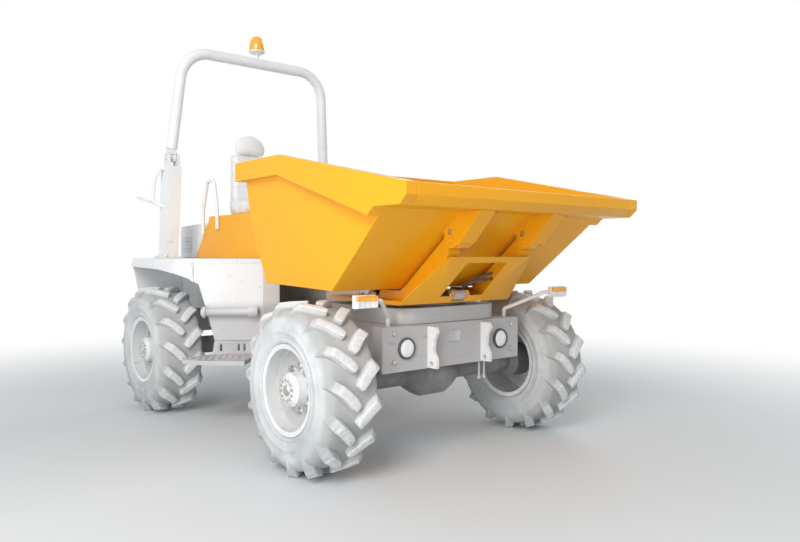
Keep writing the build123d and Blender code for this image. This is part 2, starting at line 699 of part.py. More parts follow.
# ---- fenders: deck with flared skirts, an inner arch wall and a tail wall ----
deck_inner = 470
deck_low = deck_z - deck_t
skirt_base = 1120
skirt_t = 18
flare = 32
arch_wall = 14
tail_lamp_t = 26
deck_rear_y = tail_y - tail_lamp_t
fender_edge = (            # half width, distance behind the rear axle; the flared part of the outline
    (fender_half, -430), (fender_half, 520))
arch_edge = (              # distance behind the rear axle, height; lower edge of the skirt
    (570, 1257), (-115, 1238), (-455, 1211), (-630, 1170), (-700, 1125))
for side, sx in (("left", 1), ("right", -1)):
    with BuildPart() as fender:
        for low, high, wall, how in ((skirt_base, deck_z, 0, Mode.ADD),
                                     (skirt_base, deck_low, skirt_t, Mode.SUBTRACT)):
            for z in (low, high):
                inset = wall + flare * (2 * (z - skirt_base) / (deck_z - skirt_base) - 1)
                with BuildSketch(Plane.XY.offset(z)):
                    with BuildLine():
                        Polyline((sx * deck_inner, flank_foot.Y), (sx * flank_foot.X, flank_foot.Y),
                                 (sx * flank_end.X, flank_end.Y),
                                 *[(sx * (x - inset), aft(d)) for x, d in fender_edge],
                                 (sx * (1000 - inset), deck_rear_y - wall),
                                 (sx * deck_inner, deck_rear_y - wall),
                                 close=True)
                    make_face()
            loft(mode=how)
        with BuildSketch(Plane.YZ):
            with BuildLine():
                Polyline((aft(870), skirt_base), (aft(870), arch_edge[0][1]),
                         *[(aft(d), z) for d, z in arch_edge], (aft(-730), skirt_base), close=True)
            make_face()
        extrude(amount=sx * 2 * fender_half, mode=Mode.SUBTRACT)
        # the arch's inner wall and its tail wall
        with BuildSketch(Plane.XY.offset(rear_rail_top)):
            with Locations((sx * (deck_inner + arch_wall / 2), (tank_rear_y + fit + deck_rear_y) / 2)):
                Rectangle(arch_wall, deck_rear_y - tank_rear_y - fit)
        extrude(amount=deck_low - rear_rail_top)
        with BuildSketch(Plane.XZ.offset(-deck_rear_y)):
            with BuildLine():
                Polyline((sx * deck_inner, deck_low), (sx * 975, deck_low), (sx * 975, 1254),
                         (sx * 930, 1044),
                         (sx * 900, 940), (sx * deck_inner, 940), close=True)
            make_face()
        extrude(amount=arch_wall)
    save(fender, f"fender_{side}")

# ---- side tanks behind the flanks, cut back towards their foot to clear the rear tyres ----
tank_inner = rear_rail_x + rear_rail_w / 2 + 15
for side, sx in (("left", 1), ("right", -1)):
    with BuildPart() as tank:
        with BuildSketch(Plane.XY.offset(flank_low)):
            with BuildLine():
                Polyline((sx * tank_inner, flank_foot.Y), (sx * flank_foot.X, flank_foot.Y),
                         (sx * flank_end.X, flank_end.Y), (sx * (flank_end.X - 40), tank_rear_y),
                         (sx * tank_inner, tank_rear_y), close=True)
            make_face()
        extrude(amount=deck_low - flank_low)
        with BuildSketch(flank_plane(sx)):
            with BuildLine():
                Polyline((390, flank_low), (460, 933), (516, 1125), (flank_len + 60, 1172),
                         (flank_len + 60, flank_low),
                         close=True)
            make_face()
        extrude(amount=400, both=True, mode=Mode.SUBTRACT)
        # foot of the tank on the chassis rail
        with BuildSketch(Plane.XY.offset(rear_rail_low + 60)):
            with Locations((sx * (tank_inner - 7.5), (flank_foot.Y + tank_rear_y) / 2)):
                Rectangle(15, 240)
        extrude(amount=100)
    save(tank, f"tank_{side}")

# ---- steps: a tread plate with a folded edge under a slotted riser ----
step_z = 515
step_t = 35
step_wall = 6
riser_t = 10
step_edge = (              # half width, distance behind the rear axle; outer edge of the tread
    (660, -1065), (823, -1252), (1067, -1018), (1150, -851), (1120, -780))
for side, sx in (("left", 1), ("right", -1)):
    outline = [flank_point(sx, 50), *[(sx * x, aft(d)) for x, d in step_edge], flank_point(sx, 430)]
    with BuildPart() as step:
        with BuildSketch(Plane.XY.offset(step_z)):
            with BuildLine():
                Polyline(*outline, close=True)
            make_face()
        extrude(amount=step_t)
        with BuildSketch(Plane.XY.offset(step_z)):
            with BuildLine():
                Polyline(*outline, close=True)
            make_face()
            offset(amount=-step_wall, mode=Mode.REPLACE)
        extrude(amount=step_t - step_wall, mode=Mode.SUBTRACT)
        with BuildSketch(flank_plane(sx)):
            with BuildLine():
                Polyline((60, step_z + step_t - 4), (410, step_z + step_t - 4), (392, flank_low),
                         (60, flank_low),
                         close=True)
            make_face()
            with Locations((151, 604), (197, 604), (339, 604)):
                SlotOverall(60, 16, rotation=90, mode=Mode.SUBTRACT)
        extrude(amount=-sx * riser_t)
    save(step, f"step_{side}")

# ---- articulation lock bar stowed on the right-hand flank: tube, end boss and rear foot ----
lock_z = 900
lock_r = 31
lock_boss_r = 45
lock_axis = flank_plane(-1).offset(-(lock_boss_r + fit))
with BuildPart() as lock_bar:
    for start, end, radius in ((42, 119, lock_boss_r), (119, 493, lock_r), (455, 480, lock_boss_r)):
        with BuildSketch(Plane(origin=lock_axis.from_local_coords((start, lock_z, 0)),
                               z_dir=lock_axis.x_dir)):
            Circle(radius)
        extrude(amount=end - start)
save(lock_bar, "lock_bar")

# ---- driver's console: a tub with a footwell, and the pedestal that carries the chair ----
console_front_y = aft(-885)
slant_top_y, slant_foot_y = aft(100), aft(370)
step_down_z = console_z - 60
well_front_y, well_rear_y = aft(-830), aft(-350)
well_half = 440
with BuildPart() as console:
    with BuildSketch(Plane.YZ.offset(-console_half)):
        with BuildLine():
            Polyline((console_front_y, deck_z), (console_front_y + 15, console_z),
                     (slant_top_y - 40, console_z), (slant_top_y - 14, step_down_z),
                     (slant_top_y, step_down_z), (slant_foot_y, deck_z), close=True)
        make_face()
    extrude(amount=2 * console_half)
    with BuildSketch(Plane.XY.offset(deck_z + 12)):
        with Locations((mid, (well_front_y + well_rear_y) / 2)):
            Rectangle(2 * well_half, well_rear_y - well_front_y)
    extrude(amount=console_z - deck_z, mode=Mode.SUBTRACT)
save(console, "console")

# ---- rear engine cover, fixed, and the bonnet that lifts behind it ----
cover_rear_y = aft(350)
slant_fall = (step_down_z - deck_z) / (slant_foot_y - slant_top_y)
cover_tip_z = step_down_z - (cover_rear_y - slant_top_y) * slant_fall
bonnet_front_y, bonnet_rear_y = aft(360), aft(735)
bonnet_wall = 16
hood_half = console_half - 4
with BuildPart() as engine_cover:
    with BuildSketch(Plane.YZ.offset(-hood_half)):
        with BuildLine():
            Polyline((slant_top_y, step_down_z), (cover_rear_y, step_down_z - 4),
                     (cover_rear_y, cover_tip_z), close=True)
        make_face()
    extrude(amount=2 * hood_half)
save(engine_cover, "engine_cover")

with BuildPart() as bonnet:
    with BuildSketch(Plane.YZ.offset(-hood_half)):
        with BuildLine():
            Polyline((bonnet_front_y, deck_z + 60), (bonnet_front_y, step_down_z - 4),
                     (bonnet_rear_y - 28, step_down_z - 16), (bonnet_rear_y, step_down_z - 62),
                     (bonnet_rear_y, deck_z + fit), (aft(382), deck_z + fit), close=True)
        make_face()
    extrude(amount=2 * hood_half)
    with BuildSketch(Plane.YZ.offset(bonnet_wall - hood_half)):
        with BuildLine():
            Polyline((bonnet_front_y + bonnet_wall, deck_z + 60),
                     (bonnet_front_y + bonnet_wall, step_down_z - 4 - bonnet_wall),
                     (bonnet_rear_y - 40, step_down_z - 16 - bonnet_wall),
                     (bonnet_rear_y - bonnet_wall, step_down_z - 70),
                     (bonnet_rear_y - bonnet_wall, deck_z - 10),
                     (aft(382), deck_z - 10), (bonnet_front_y + bonnet_wall + 8, deck_z + 50), close=True)
        make_face()
    extrude(amount=2 * (hood_half - bonnet_wall), mode=Mode.SUBTRACT)
save(bonnet, "bonnet")

# ---- driver's chair ----
chair_half = 245
cushion_half = 285
cushion_low, cushion_top = console_z + 23, console_z + 160
cushion_y, cushion_len = aft(-100), 470
with BuildPart() as chair_base:
    with BuildSketch(Plane.XY.offset(console_z)):
        with Locations((mid, aft(-55))):
            Rectangle(360, 220)
    extrude(amount=cushion_low - console_z)
save(chair_base, "chair_base")

with BuildPart() as chair_cushion:
    with BuildSketch(Plane.XY.offset(cushion_low + fit)):
        with Locations((mid, cushion_y)):
            RectangleRounded(2 * cushion_half, cushion_len, 60)
    extrude(amount=cushion_top - cushion_low)
save(chair_cushion, "chair_cushion")

chair_top_z = 2365
with BuildPart() as chair_back:
    with BuildSketch(Plane.YZ.offset(-chair_half)):
        with BuildLine():
            Polyline((cushion_y + cushion_len / 2 + fit, cushion_low + fit), (aft(260), cushion_low + fit),
                     (aft(315), chair_top_z - 55), (aft(290), chair_top_z), (aft(200), chair_top_z),
                     (aft(185), chair_top_z - 55), close=True)
        make_face()
    extrude(amount=2 * chair_half)
save(chair_back, "chair_back")

headrest_half, headrest_t, headrest_side = 172, 115, 45
headrest_top_z = chair_top_z + 180
with BuildPart() as chair_headrest:
    with BuildSketch(Plane.XZ.offset(-aft(260))):
        with BuildLine():
            Polyline((-headrest_half, chair_top_z + fit), (headrest_half, chair_top_z + fit),
                     (headrest_half, chair_top_z + headrest_side))
            ThreePointArc((headrest_half, chair_top_z + headrest_side), (0, headrest_top_z),
                          (-headrest_half, chair_top_z + headrest_side))
            Line((-headrest_half, chair_top_z + headrest_side), (-headrest_half, chair_top_z + fit))
        make_face()
    extrude(amount=headrest_t)
save(chair_headrest, "chair_headrest")

# ---- steering column and wheel ----
wheel_centre = Vector(mid, aft(-580), 1990)
column_foot = Vector(mid, aft(-770), 1600)
column_dir = (wheel_centre - column_foot).normalized()
steering_r = 190
with BuildPart() as steering_column:
    with BuildSketch(Plane.YZ.offset(-170)):
        with BuildLine():
            Polyline((well_front_y, deck_z + 12), (aft(-750), deck_z + 12), (aft(-690), 1640),
                     (aft(-730), 1700),
                     (well_front_y, console_z + 30), close=True)
        make_face()
    extrude(amount=340)
    with BuildSketch(Plane(origin=column_foot, z_dir=column_dir)):
        Circle(32)
    extrude(amount=(wheel_centre - column_foot).length)
save(steering_column, "steering_column")

with BuildPart() as steering_wheel:
    rim_plane = Plane(origin=wheel_centre + column_dir * (18 + fit), x_dir=(1, 0, 0), z_dir=column_dir)
    with BuildSketch(Plane(origin=rim_plane.origin, x_dir=(1, 0, 0), z_dir=rim_plane.y_dir * -1)):
        with Locations((steering_r - 14, 0)):
            Circle(14)
    revolve(axis=Axis(rim_plane.origin, column_dir))
    with BuildSketch(rim_plane.offset(-18)):
        Circle(48)
    extrude(amount=30)
    with BuildSketch(rim_plane.offset(-5)):
        for turn in (90, 210, 330):
            with Locations(Location((0, 0, 0), (0, 0, turn))):
                Rectangle(steering_r - 10, 34, align=(Align.MIN, Align.CENTER))
    extrude(amount=10)
save(steering_wheel, "steering_wheel")

# ---- grab handles: a bent rod on each side of the console, beside the chair ----
handle_r = 17
handle_x = console_half + handle_r - 1
handle_top_z = 2045
handle_line_points = (    # distance behind the rear axle, height
    (-145, 1600), (-140, 1790), (-85, handle_top_z), (60, handle_top_z), (150, 1790), (160, 1560))
with BuildPart() as grab_handles:
    for sx in (-1, 1):
        with BuildLine() as handle_line:
            FilletPolyline(*[(sx * handle_x, aft(d), z) for d, z in handle_line_points], radius=56)
        with BuildSketch(Plane(origin=handle_line.line @ 0, z_dir=handle_line.line % 0)):
            Circle(handle_r)
        sweep(path=handle_line.line)
    add(console.part, mode=Mode.SUBTRACT)
save(grab_handles, "grab_handles")

# ---- roll bar: tapered box legs with hinge ears, and a folding tube hoop with the beacon ----
leg_drop = 84             # hinge axis above the leg's top
leg_top_z = roll_hinge_z - leg_drop
hoop_foot = 78            # hinge axis to the tube's lower end
hoop_r = 49
hoop_lean = 0.10          # forward run of the hoop for each mm up
ear_gap = 36
hoop_x = 822
hoop_corner_x = 735
hoop_bend_r = 270
with BuildPart() as roll_legs:
    for sx in (-1, 1):
        with BuildSketch(Plane.XY.offset(deck_z)):
            with Locations((sx * roll_x, roll_y)):
                Rectangle(110, 190)
        with BuildSketch(Plane.XY.offset(leg_top_z)):
            with Locations((sx * hoop_x, roll_y)):
                Rectangle(120, 180)
        loft()
        with BuildSketch(Plane.YZ.offset(sx * hoop_x - ear_gap - 14)):
            with Locations((roll_y - 14, roll_hinge_z - leg_drop / 2 + 10)):
                Rectangle(128, leg_drop + 20)
            with Locations((roll_y, roll_hinge_z)):
                Circle(50)
        extrude(amount=14)
        with BuildSketch(Plane.YZ.offset(sx * hoop_x + ear_gap)):
            with Locations((roll_y - 14, roll_hinge_z - leg_drop / 2 + 10)):
                Rectangle(128, leg_drop + 20)
            with Locations((roll_y, roll_hinge_z)):
                Circle(50)
        extrude(amount=14)
        with Locations(Location((sx * hoop_x, roll_y, roll_hinge_z), (0, 90, 0))):
            Cylinder(16, 2 * ear_gap + 44)
save(roll_legs, "roll_legs")


def hoop_point(x, z):
    """Point of the hoop's centre line, which leans forward with height."""
    return (x, roll_y - hoop_lean * (z - roll_hinge_z), z)


with BuildPart() as roll_hoop:
    with BuildLine() as hoop_line:
        FilletPolyline(hoop_point(-hoop_x, roll_hinge_z + hoop_foot),
                       hoop_point(-hoop_corner_x, hoop_top_z - hoop_r),
                       hoop_point(hoop_corner_x, hoop_top_z - hoop_r),
                       hoop_point(hoop_x, roll_hinge_z + hoop_foot), radius=hoop_bend_r)
    with BuildSketch(Plane(origin=hoop_line.line @ 0, z_dir=hoop_line.line % 0)):
        Circle(hoop_r)
    sweep(path=hoop_line.line)
    for sx in (-1, 1):
        with BuildSketch(Plane.YZ.offset(sx * hoop_x - ear_gap + 6)):
            with Locations((roll_y, roll_hinge_z)):
                Circle(42)
                Circle(16 + fit, mode=Mode.SUBTRACT)
            with Locations((roll_y - 6, roll_hinge_z + hoop_foot - 24)):
                Rectangle(78, 56)
        extrude(amount=2 * (ear_gap - 6))
save(roll_hoop, "roll_hoop")

beacon_y = hoop_point(0, hoop_top_z - hoop_r)[1]
beacon_stem_r = 24
beacon_outline = (        # radius, height above the hoop
    (beacon_stem_r, 30), (66, 44), (78, 58), (78, 108), (68, 166), (42, 202), (0, 212))
with BuildPart() as beacon:
    with Locations(Location((mid, beacon_y, hoop_top_z - 8))):
        Cylinder(beacon_stem_r, 40, align=(Align.CENTER, Align.CENTER, Align.MIN))
    add(roll_hoop.part, mode=Mode.SUBTRACT)
    with BuildSketch(Plane(origin=(mid, beacon_y, hoop_top_z), x_dir=(1, 0, 0), z_dir=(0, -1, 0))):
        with BuildLine():
            Polyline((0, beacon_outline[0][1]), *beacon_outline, close=True)
        make_face()
    revolve(axis=Axis((mid, beacon_y, hoop_top_z), (0, 0, 1)))
save(beacon, "beacon")

# ---- latch levers of the folding hoop: a bent rod on each leg with a hooked grip ----
latch_r = 15
latch_out = 900           # half width where the rods hang beside the legs
with BuildPart() as roll_latches:
    for sx in (-1, 1):
        with BuildLine() as rod_line:
            FilletPolyline((sx * (hoop_x + ear_gap + 9), roll_y + 4, roll_hinge_z - 112),
                           (sx * (latch_out + 12), roll_y + 14, roll_hinge_z - 92),
                           (sx * (latch_out + 66), roll_y + 40, roll_hinge_z - 205),
                           (sx * (latch_out + 72), roll_y + 60, roll_hinge_z - 408),
                           (sx * (latch_out - 26), roll_y + 30, roll_hinge_z - 452), radius=26)
        with BuildSketch(Plane(origin=rod_line.line @ 0, z_dir=rod_line.line % 0)):
            Circle(latch_r)
        sweep(path=rod_line.line)
        with BuildLine() as grip_line:
            FilletPolyline((sx * (latch_out + 62), roll_y + 56, roll_hinge_z - 408),
                           (sx * (latch_out + 80), roll_y + 150, roll_hinge_z - 392),
                           (sx * (latch_out + 124), roll_y + 300, roll_hinge_z - 352), radius=40)
        with BuildSketch(Plane(origin=grip_line.line @ 0, z_dir=grip_line.line % 0)):
            Circle(latch_r - 2)
        sweep(path=grip_line.line)
    add(roll_legs.part, mode=Mode.SUBTRACT)
save(roll_latches, "roll_latches")

with BuildPart() as tail_lamps:
    with BuildSketch(Plane.XZ.offset(-tail_y)):
        with Locations((-720, deck_low - 8), (720, deck_low - 8)):
            RectangleRounded(180, 60, 10)
    extrude(amount=tail_lamp_t)
save(tail_lamps, "tail_lamps")
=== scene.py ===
# %% [markdown]
# # A site dumper, dressed over its frame
#
# The machine has a swivelling, tipping skip in front, an articulated chassis on four big lugged tyres, an
# open driving seat and a folding roll bar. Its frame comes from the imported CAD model: every node keeps its
# place, and this lesson adds finishes and the smaller pieces. The frame is loaded first, because each piece
# is placed from it.

# %% Load the frame
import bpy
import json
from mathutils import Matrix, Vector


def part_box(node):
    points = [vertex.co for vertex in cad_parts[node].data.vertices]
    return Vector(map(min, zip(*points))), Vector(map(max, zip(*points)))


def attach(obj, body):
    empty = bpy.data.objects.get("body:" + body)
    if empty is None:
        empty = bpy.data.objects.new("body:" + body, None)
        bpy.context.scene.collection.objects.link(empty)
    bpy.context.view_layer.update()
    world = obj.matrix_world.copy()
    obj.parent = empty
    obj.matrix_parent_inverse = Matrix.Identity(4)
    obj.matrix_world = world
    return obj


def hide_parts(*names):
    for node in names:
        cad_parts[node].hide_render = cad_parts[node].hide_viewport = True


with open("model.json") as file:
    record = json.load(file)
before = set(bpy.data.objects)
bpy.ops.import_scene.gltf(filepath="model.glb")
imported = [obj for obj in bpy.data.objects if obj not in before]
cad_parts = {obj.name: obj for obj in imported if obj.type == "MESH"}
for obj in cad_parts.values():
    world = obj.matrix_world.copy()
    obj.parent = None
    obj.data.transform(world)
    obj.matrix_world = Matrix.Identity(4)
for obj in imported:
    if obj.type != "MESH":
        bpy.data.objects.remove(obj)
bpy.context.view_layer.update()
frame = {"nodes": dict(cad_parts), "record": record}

# %% Modules
import json
import math
from contextlib import contextmanager

import bmesh
import bpy
from mathutils import Matrix, Vector

nodes = frame["nodes"]
sides = (("left", 1), ("right", -1))

# %% [markdown]
# ## The camera
#
# A person stands at the machine's front right corner, a little below the skip's rim, so the camera is low
# and close with a wide lens. A long lens further off would flatten the tyres; this one keeps their strong
# perspective.

# %% Camera
eye = bpy.data.cameras.new("camera")
eye.lens, eye.sensor_width = 32.06, 36
camera = bpy.data.objects.new("camera", eye)
camera.location = (-3.381, -4.861, 1.367)
camera.rotation_euler = (math.radians(88.68), 0, math.radians(-39.69))
bpy.context.scene.collection.objects.link(camera)
bpy.context.scene.camera = camera
print("camera:", [round(v, 2) for v in camera.location], "lens", eye.lens)

# %% [markdown]
# ## The studio
#
# A pale floor takes the soft shadow, one large lamp stands to the machine's right, a low one reaches under
# the skip, and the world fills the rest. The white behind it is only what the camera and mirrors see, so it
# adds no light. Far from the machine the floor fades to that same white, which hides the horizon better
# than a wall would.

# %% Sky and lamps
world = bpy.data.worlds.new("studio")
bpy.context.scene.world = world
world.use_nodes = True
sky = world.node_tree


def seen_directly(tree):
    """A socket that is 1 for camera, glossy and transmission rays."""
    path = tree.nodes.new("ShaderNodeLightPath")
    add_gloss = tree.nodes.new("ShaderNodeMath")
    add_glass = tree.nodes.new("ShaderNodeMath")
    for adder in (add_gloss, add_glass):
        adder.operation = "MAXIMUM"
    tree.links.new(path.outputs["Is Camera Ray"], add_gloss.inputs[0])
    tree.links.new(path.outputs["Is Glossy Ray"], add_gloss.inputs[1])
    tree.links.new(add_gloss.outputs[0], add_glass.inputs[0])
    tree.links.new(path.outputs["Is Transmission Ray"], add_glass.inputs[1])
    return add_glass.outputs[0]


fill_light = sky.nodes["Background"]
fill_light.inputs["Color"].default_value = (0.94, 0.97, 1.0, 1)
fill_light.inputs["Strength"].default_value = 0.50
backdrop = sky.nodes.new("ShaderNodeBackground")
backdrop.inputs["Color"].default_value = (1, 1, 1, 1)
backdrop.inputs["Strength"].default_value = 1
either = sky.nodes.new("ShaderNodeMixShader")
sky.links.new(seen_directly(sky), either.inputs[0])
sky.links.new(fill_light.outputs[0], either.inputs[1])
sky.links.new(backdrop.outputs[0], either.inputs[2])
sky.links.new(either.outputs[0], sky.nodes["World Output"].inputs["Surface"])

for name, place, size, watts in (
        ("key lamp", (-7.4, -5.6, 6.6), 4.5, 600),
        ("low lamp", (-6.2, -4.2, 1.3), 2.4, 130),
        ("fill lamp", (7.5, 4.5, 6.0), 5.0, 200)):
    lamp = bpy.data.lights.new(name, "AREA")
    lamp.size, lamp.energy = size, watts
    holder = bpy.data.objects.new(name, lamp)
    holder.location = place
    holder.rotation_euler = (Vector((0, 0, 1.0)) - Vector(place)).to_track_quat("-Z", "Y").to_euler()
    bpy.context.scene.collection.objects.link(holder)
bpy.context.scene.view_settings.view_transform = "Standard"
print("studio: world", fill_light.inputs["Strength"].default_value)

# %% Floor
bpy.ops.object.select_all(action="DESELECT")
bpy.ops.mesh.primitive_plane_add(size=80, location=(0, 0, -0.001))
floor = bpy.context.object
floor.name = "studio_floor"
pale = bpy.data.materials.new("pale_floor")
pale.use_nodes = True
tree = pale.node_tree
tree.nodes["Principled BSDF"].inputs["Base Color"].default_value = (0.72, 0.74, 0.75, 1)
tree.nodes["Principled BSDF"].inputs["Roughness"].default_value = 0.9
tree.nodes["Principled BSDF"].inputs["Specular IOR Level"].default_value = 0.1
spot = tree.nodes.new("ShaderNodeTexCoord")
far = tree.nodes.new("ShaderNodeVectorMath")
far.operation = "LENGTH"
fade = tree.nodes.new("ShaderNodeMapRange")
fade.interpolation_type = "SMOOTHSTEP"
fade.inputs["From Min"].default_value, fade.inputs["From Max"].default_value = 2.4, 7.5
both = tree.nodes.new("ShaderNodeMath")
both.operation = "MULTIPLY"
white = tree.nodes.new("ShaderNodeEmission")
either = tree.nodes.new("ShaderNodeMixShader")
tree.links.new(spot.outputs["Object"], far.inputs[0])
tree.links.new(far.outputs["Value"], fade.inputs["Value"])
tree.links.new(fade.outputs[0], both.inputs[0])
tree.links.new(seen_directly(tree), both.inputs[1])
tree.links.new(both.outputs[0], either.inputs[0])
tree.links.new(tree.nodes["Principled BSDF"].outputs[0], either.inputs[1])
tree.links.new(white.outputs[0], either.inputs[2])
tree.links.new(either.outputs[0], tree.nodes["Material Output"].inputs["Surface"])
floor.data.materials.append(pale)
print("floor at", round(floor.location.z, 4))

# %% [markdown]
# ## How a finish is built
#
# Every finish on a work machine is a stack: the coat itself, a slow drift of its shade, dust that gathers
# low down, and bare or bruised edges. The layers could be painted by hand, but they are made from noise on
# Object coordinates, so they fit any piece and need no unwrapping. The edge layer compares the real normal
# with a rounded one, which differ only along an edge.

# %% The stack of layers


class Finish:
    """A procedural finish that grows layer by layer on one Principled shader."""

    def __init__(self, name, colour, roughness, metallic=0.0, **sockets):
        self.material = bpy.data.materials.new(name)
        self.material.use_nodes = True
        self.tree = self.material.node_tree
        self.shader = self.tree.nodes["Principled BSDF"]
        self.shader.inputs["Metallic"].default_value = metallic
        for socket, value in sockets.items():
            self.shader.inputs[socket.replace("_", " ")].default_value = value
        self.place = self.node("ShaderNodeTexCoord").outputs["Object"]
        self.colour, self.gloss, self.normal = (*colour, 1), roughness, None

    def node(self, kind, **settings):
        made = self.tree.nodes.new(kind)
        for setting, value in settings.items():
            setattr(made, setting, value)
        return made

    def wire(self, source, target):
        """Wire a socket to the target, or set a plain number or colour on the target itself."""
        if isinstance(source, bpy.types.NodeSocket):
            self.tree.links.new(source, target)
        else:
            target.default_value = source

    def between(self, value, low, high, start=0.0, end=1.0):
        """The value mapped smoothly from low..high to start..end."""
        ramp = self.node("ShaderNodeMapRange", interpolation_type="SMOOTHSTEP")
        self.wire(value, ramp.inputs["Value"])
        for socket, number in zip(("From Min", "From Max", "To Min", "To Max"), (low, high, start, end)):
            ramp.inputs[socket].default_value = number
        return ramp.outputs[0]

    def noise(self, scale, detail=4, rough=0.5, stretch=(1, 1, 1), shift=0.0):
        """Plain noise at so many blotches a metre, stretched along the axes."""
        turn = self.node("ShaderNodeMapping")
        turn.inputs["Scale"].default_value = stretch
        turn.inputs["Location"].default_value = (shift, shift, shift)
        self.wire(self.place, turn.inputs["Vector"])
        cloud = self.node("ShaderNodeTexNoise")
        self.wire(turn.outputs[0], cloud.inputs["Vector"])
        cloud.inputs["Scale"].default_value = scale
        cloud.inputs["Detail"].default_value = detail
        cloud.inputs["Roughness"].default_value = rough
        return cloud.outputs["Fac"]

    def times(self, one, other):
        product = self.node("ShaderNodeMath", operation="MULTIPLY", use_clamp=True)
        self.wire(one, product.inputs[0])
        self.wire(other, product.inputs[1])
        return product.outputs[0]

    def along(self, axis, full, none):
        """1 where the coordinate along the axis is full and 0 where it is none."""
        parts = self.node("ShaderNodeSeparateXYZ")
        self.wire(self.place, parts.inputs[0])
        return self.between(parts.outputs[axis], full, none, 1.0, 0.0)

    def round_axle(self, full, none):
        """1 within the radius full of the nearer axle, and 0 beyond none."""
        point = self.place
        for operation, numbers in (("SUBTRACT", (0, 0.125, 0.54)), ("ABSOLUTE", None),
                                   ("SUBTRACT", (0, 1.215, 0)), ("MULTIPLY", (0, 1, 1))):
            step = self.node("ShaderNodeVectorMath", operation=operation)
            self.wire(point, step.inputs[0])
            if numbers:
                step.inputs[1].default_value = numbers
            point = step.outputs[0]
        far = self.node("ShaderNodeVectorMath", operation="LENGTH")
        self.wire(point, far.inputs[0])
        return self.between(far.outputs["Value"], full, none, 1.0, 0.0)

    def facing(self, axis, low, high):
        """1 where the surface faces along the axis."""
        ground = self.node("ShaderNodeNewGeometry")
        dot = self.node("ShaderNodeVectorMath", operation="DOT_PRODUCT")
        self.wire(ground.outputs["Normal"], dot.inputs[0])
        dot.inputs[1].default_value = axis
        return self.between(dot.outputs["Value"], low, high)

    def edges(self, radius):
        """1 along edges, from the difference between the true and the rounded normal."""
        ground = self.node("ShaderNodeNewGeometry")
        soft = self.node("ShaderNodeBevel", samples=6)
        soft.inputs["Radius"].default_value = radius
        dot = self.node("ShaderNodeVectorMath", operation="DOT_PRODUCT")
        self.wire(ground.outputs["Normal"], dot.inputs[0])
        self.wire(soft.outputs[0], dot.inputs[1])
        return self.between(dot.outputs["Value"], 0.985, 0.86)

    def layer(self, cover, colour, gloss=None):
        """Lay a colour, and its roughness if given, over what is there."""
        mix = self.node("ShaderNodeMix", data_type="RGBA")
        self.wire(cover, mix.inputs[0])
        self.wire(self.colour, mix.inputs[6])
        self.wire((*colour, 1), mix.inputs[7])
        self.colour = mix.outputs[2]
        if gloss is not None:
            blend = self.node("ShaderNodeMix")
            self.wire(cover, blend.inputs[0])
            self.wire(self.gloss, blend.inputs[2])
            self.wire(gloss, blend.inputs[3])
            self.gloss = blend.outputs[0]

    def bump(self, relief, depth):
        """Raise the surface by the relief, so many metres deep."""
        rise = self.node("ShaderNodeBump")
        rise.inputs["Strength"].default_value = 1
        rise.inputs["Distance"].default_value = depth
        self.wire(relief, rise.inputs["Height"])
        if self.normal is not None:
            self.wire(self.normal, rise.inputs["Normal"])
        self.normal = rise.outputs[0]

    def done(self):
        self.wire(self.colour, self.shader.inputs["Base Color"])
        self.wire(self.gloss, self.shader.inputs["Roughness"])
        if self.normal is not None:
            self.wire(self.normal, self.shader.inputs["Normal"])
        print("finish:", self.material.name, len(self.tree.nodes), "nodes")
        return self.material


# %% [markdown]
# ## Paint
#
# The skip, its swivel frame and the console are sprayed yellow; the chassis is grey and the body panels are
# pale. Enamel has a fine orange peel, a slightly uneven shade, chips along the edges, and dust where wheels
# throw it. Two coats also carry painted shade: the pale panels turn grey low down, and the wheels' dishes
# are darker. One recipe with a few numbers suits all of them, which keeps the machine looking like one job.

# %% Painted steel
dust = (0.60, 0.58, 0.54)


def sprayed(name, colour, shade):
    """Fresh enamel with a slow drift towards its shade."""
    coat = Finish(name, colour, 0.36, Specular_IOR_Level=0.3, Coat_Weight=0.08, Coat_Roughness=0.12)
    coat.layer(coat.times(coat.between(coat.noise(1.7, 5), 0.35, 0.75), 0.55), shade, 0.42)
    return coat


def knocked(coat, chip, blotches, least, swell, depth):
    """The last layers: edges worn in blotches down to the chip colour, orange peel, and a slow swell."""
    worn = coat.times(coat.edges(0.006), coat.between(coat.noise(blotches, 5, 0.6), least, least + 0.18))
    coat.layer(coat.times(worn, 0.75), chip, 0.5)
    coat.bump(coat.noise(420, 2), 0.00025)
    coat.bump(coat.noise(swell, 2), depth)
    return coat.done()


def enamel(name, colour, shade, chip, dust_top, scuffs=0.25, patch=None):
    """Sprayed steel: its colour, a darker drift, the colour under chips, the dust's height, and a patch."""
    coat = sprayed(name, colour, shade)
    if patch:
        cover, other = patch
        coat.layer(cover(coat), other)
    streaks = coat.between(coat.noise(5, 6, 0.62, (1.0, 1.0, 0.22), 3.0), 0.52, 0.8)
    coat.layer(coat.times(streaks, 0.16), shade, 0.5)
    grime = coat.times(coat.along("Z", 0.35, dust_top), coat.between(coat.noise(7, 8, 0.66), 0.3, 0.75))
    coat.layer(coat.times(grime, 0.6), dust, 0.8)
    scratch = coat.between(coat.noise(26, 3, 0.4, (0.25, 1.6, 1.0), 7.0), 0.66, 0.74)
    coat.layer(coat.times(scratch, scuffs), chip, 0.5)
    return knocked(coat, chip, 17, 0.42, 2.6, 0.004)


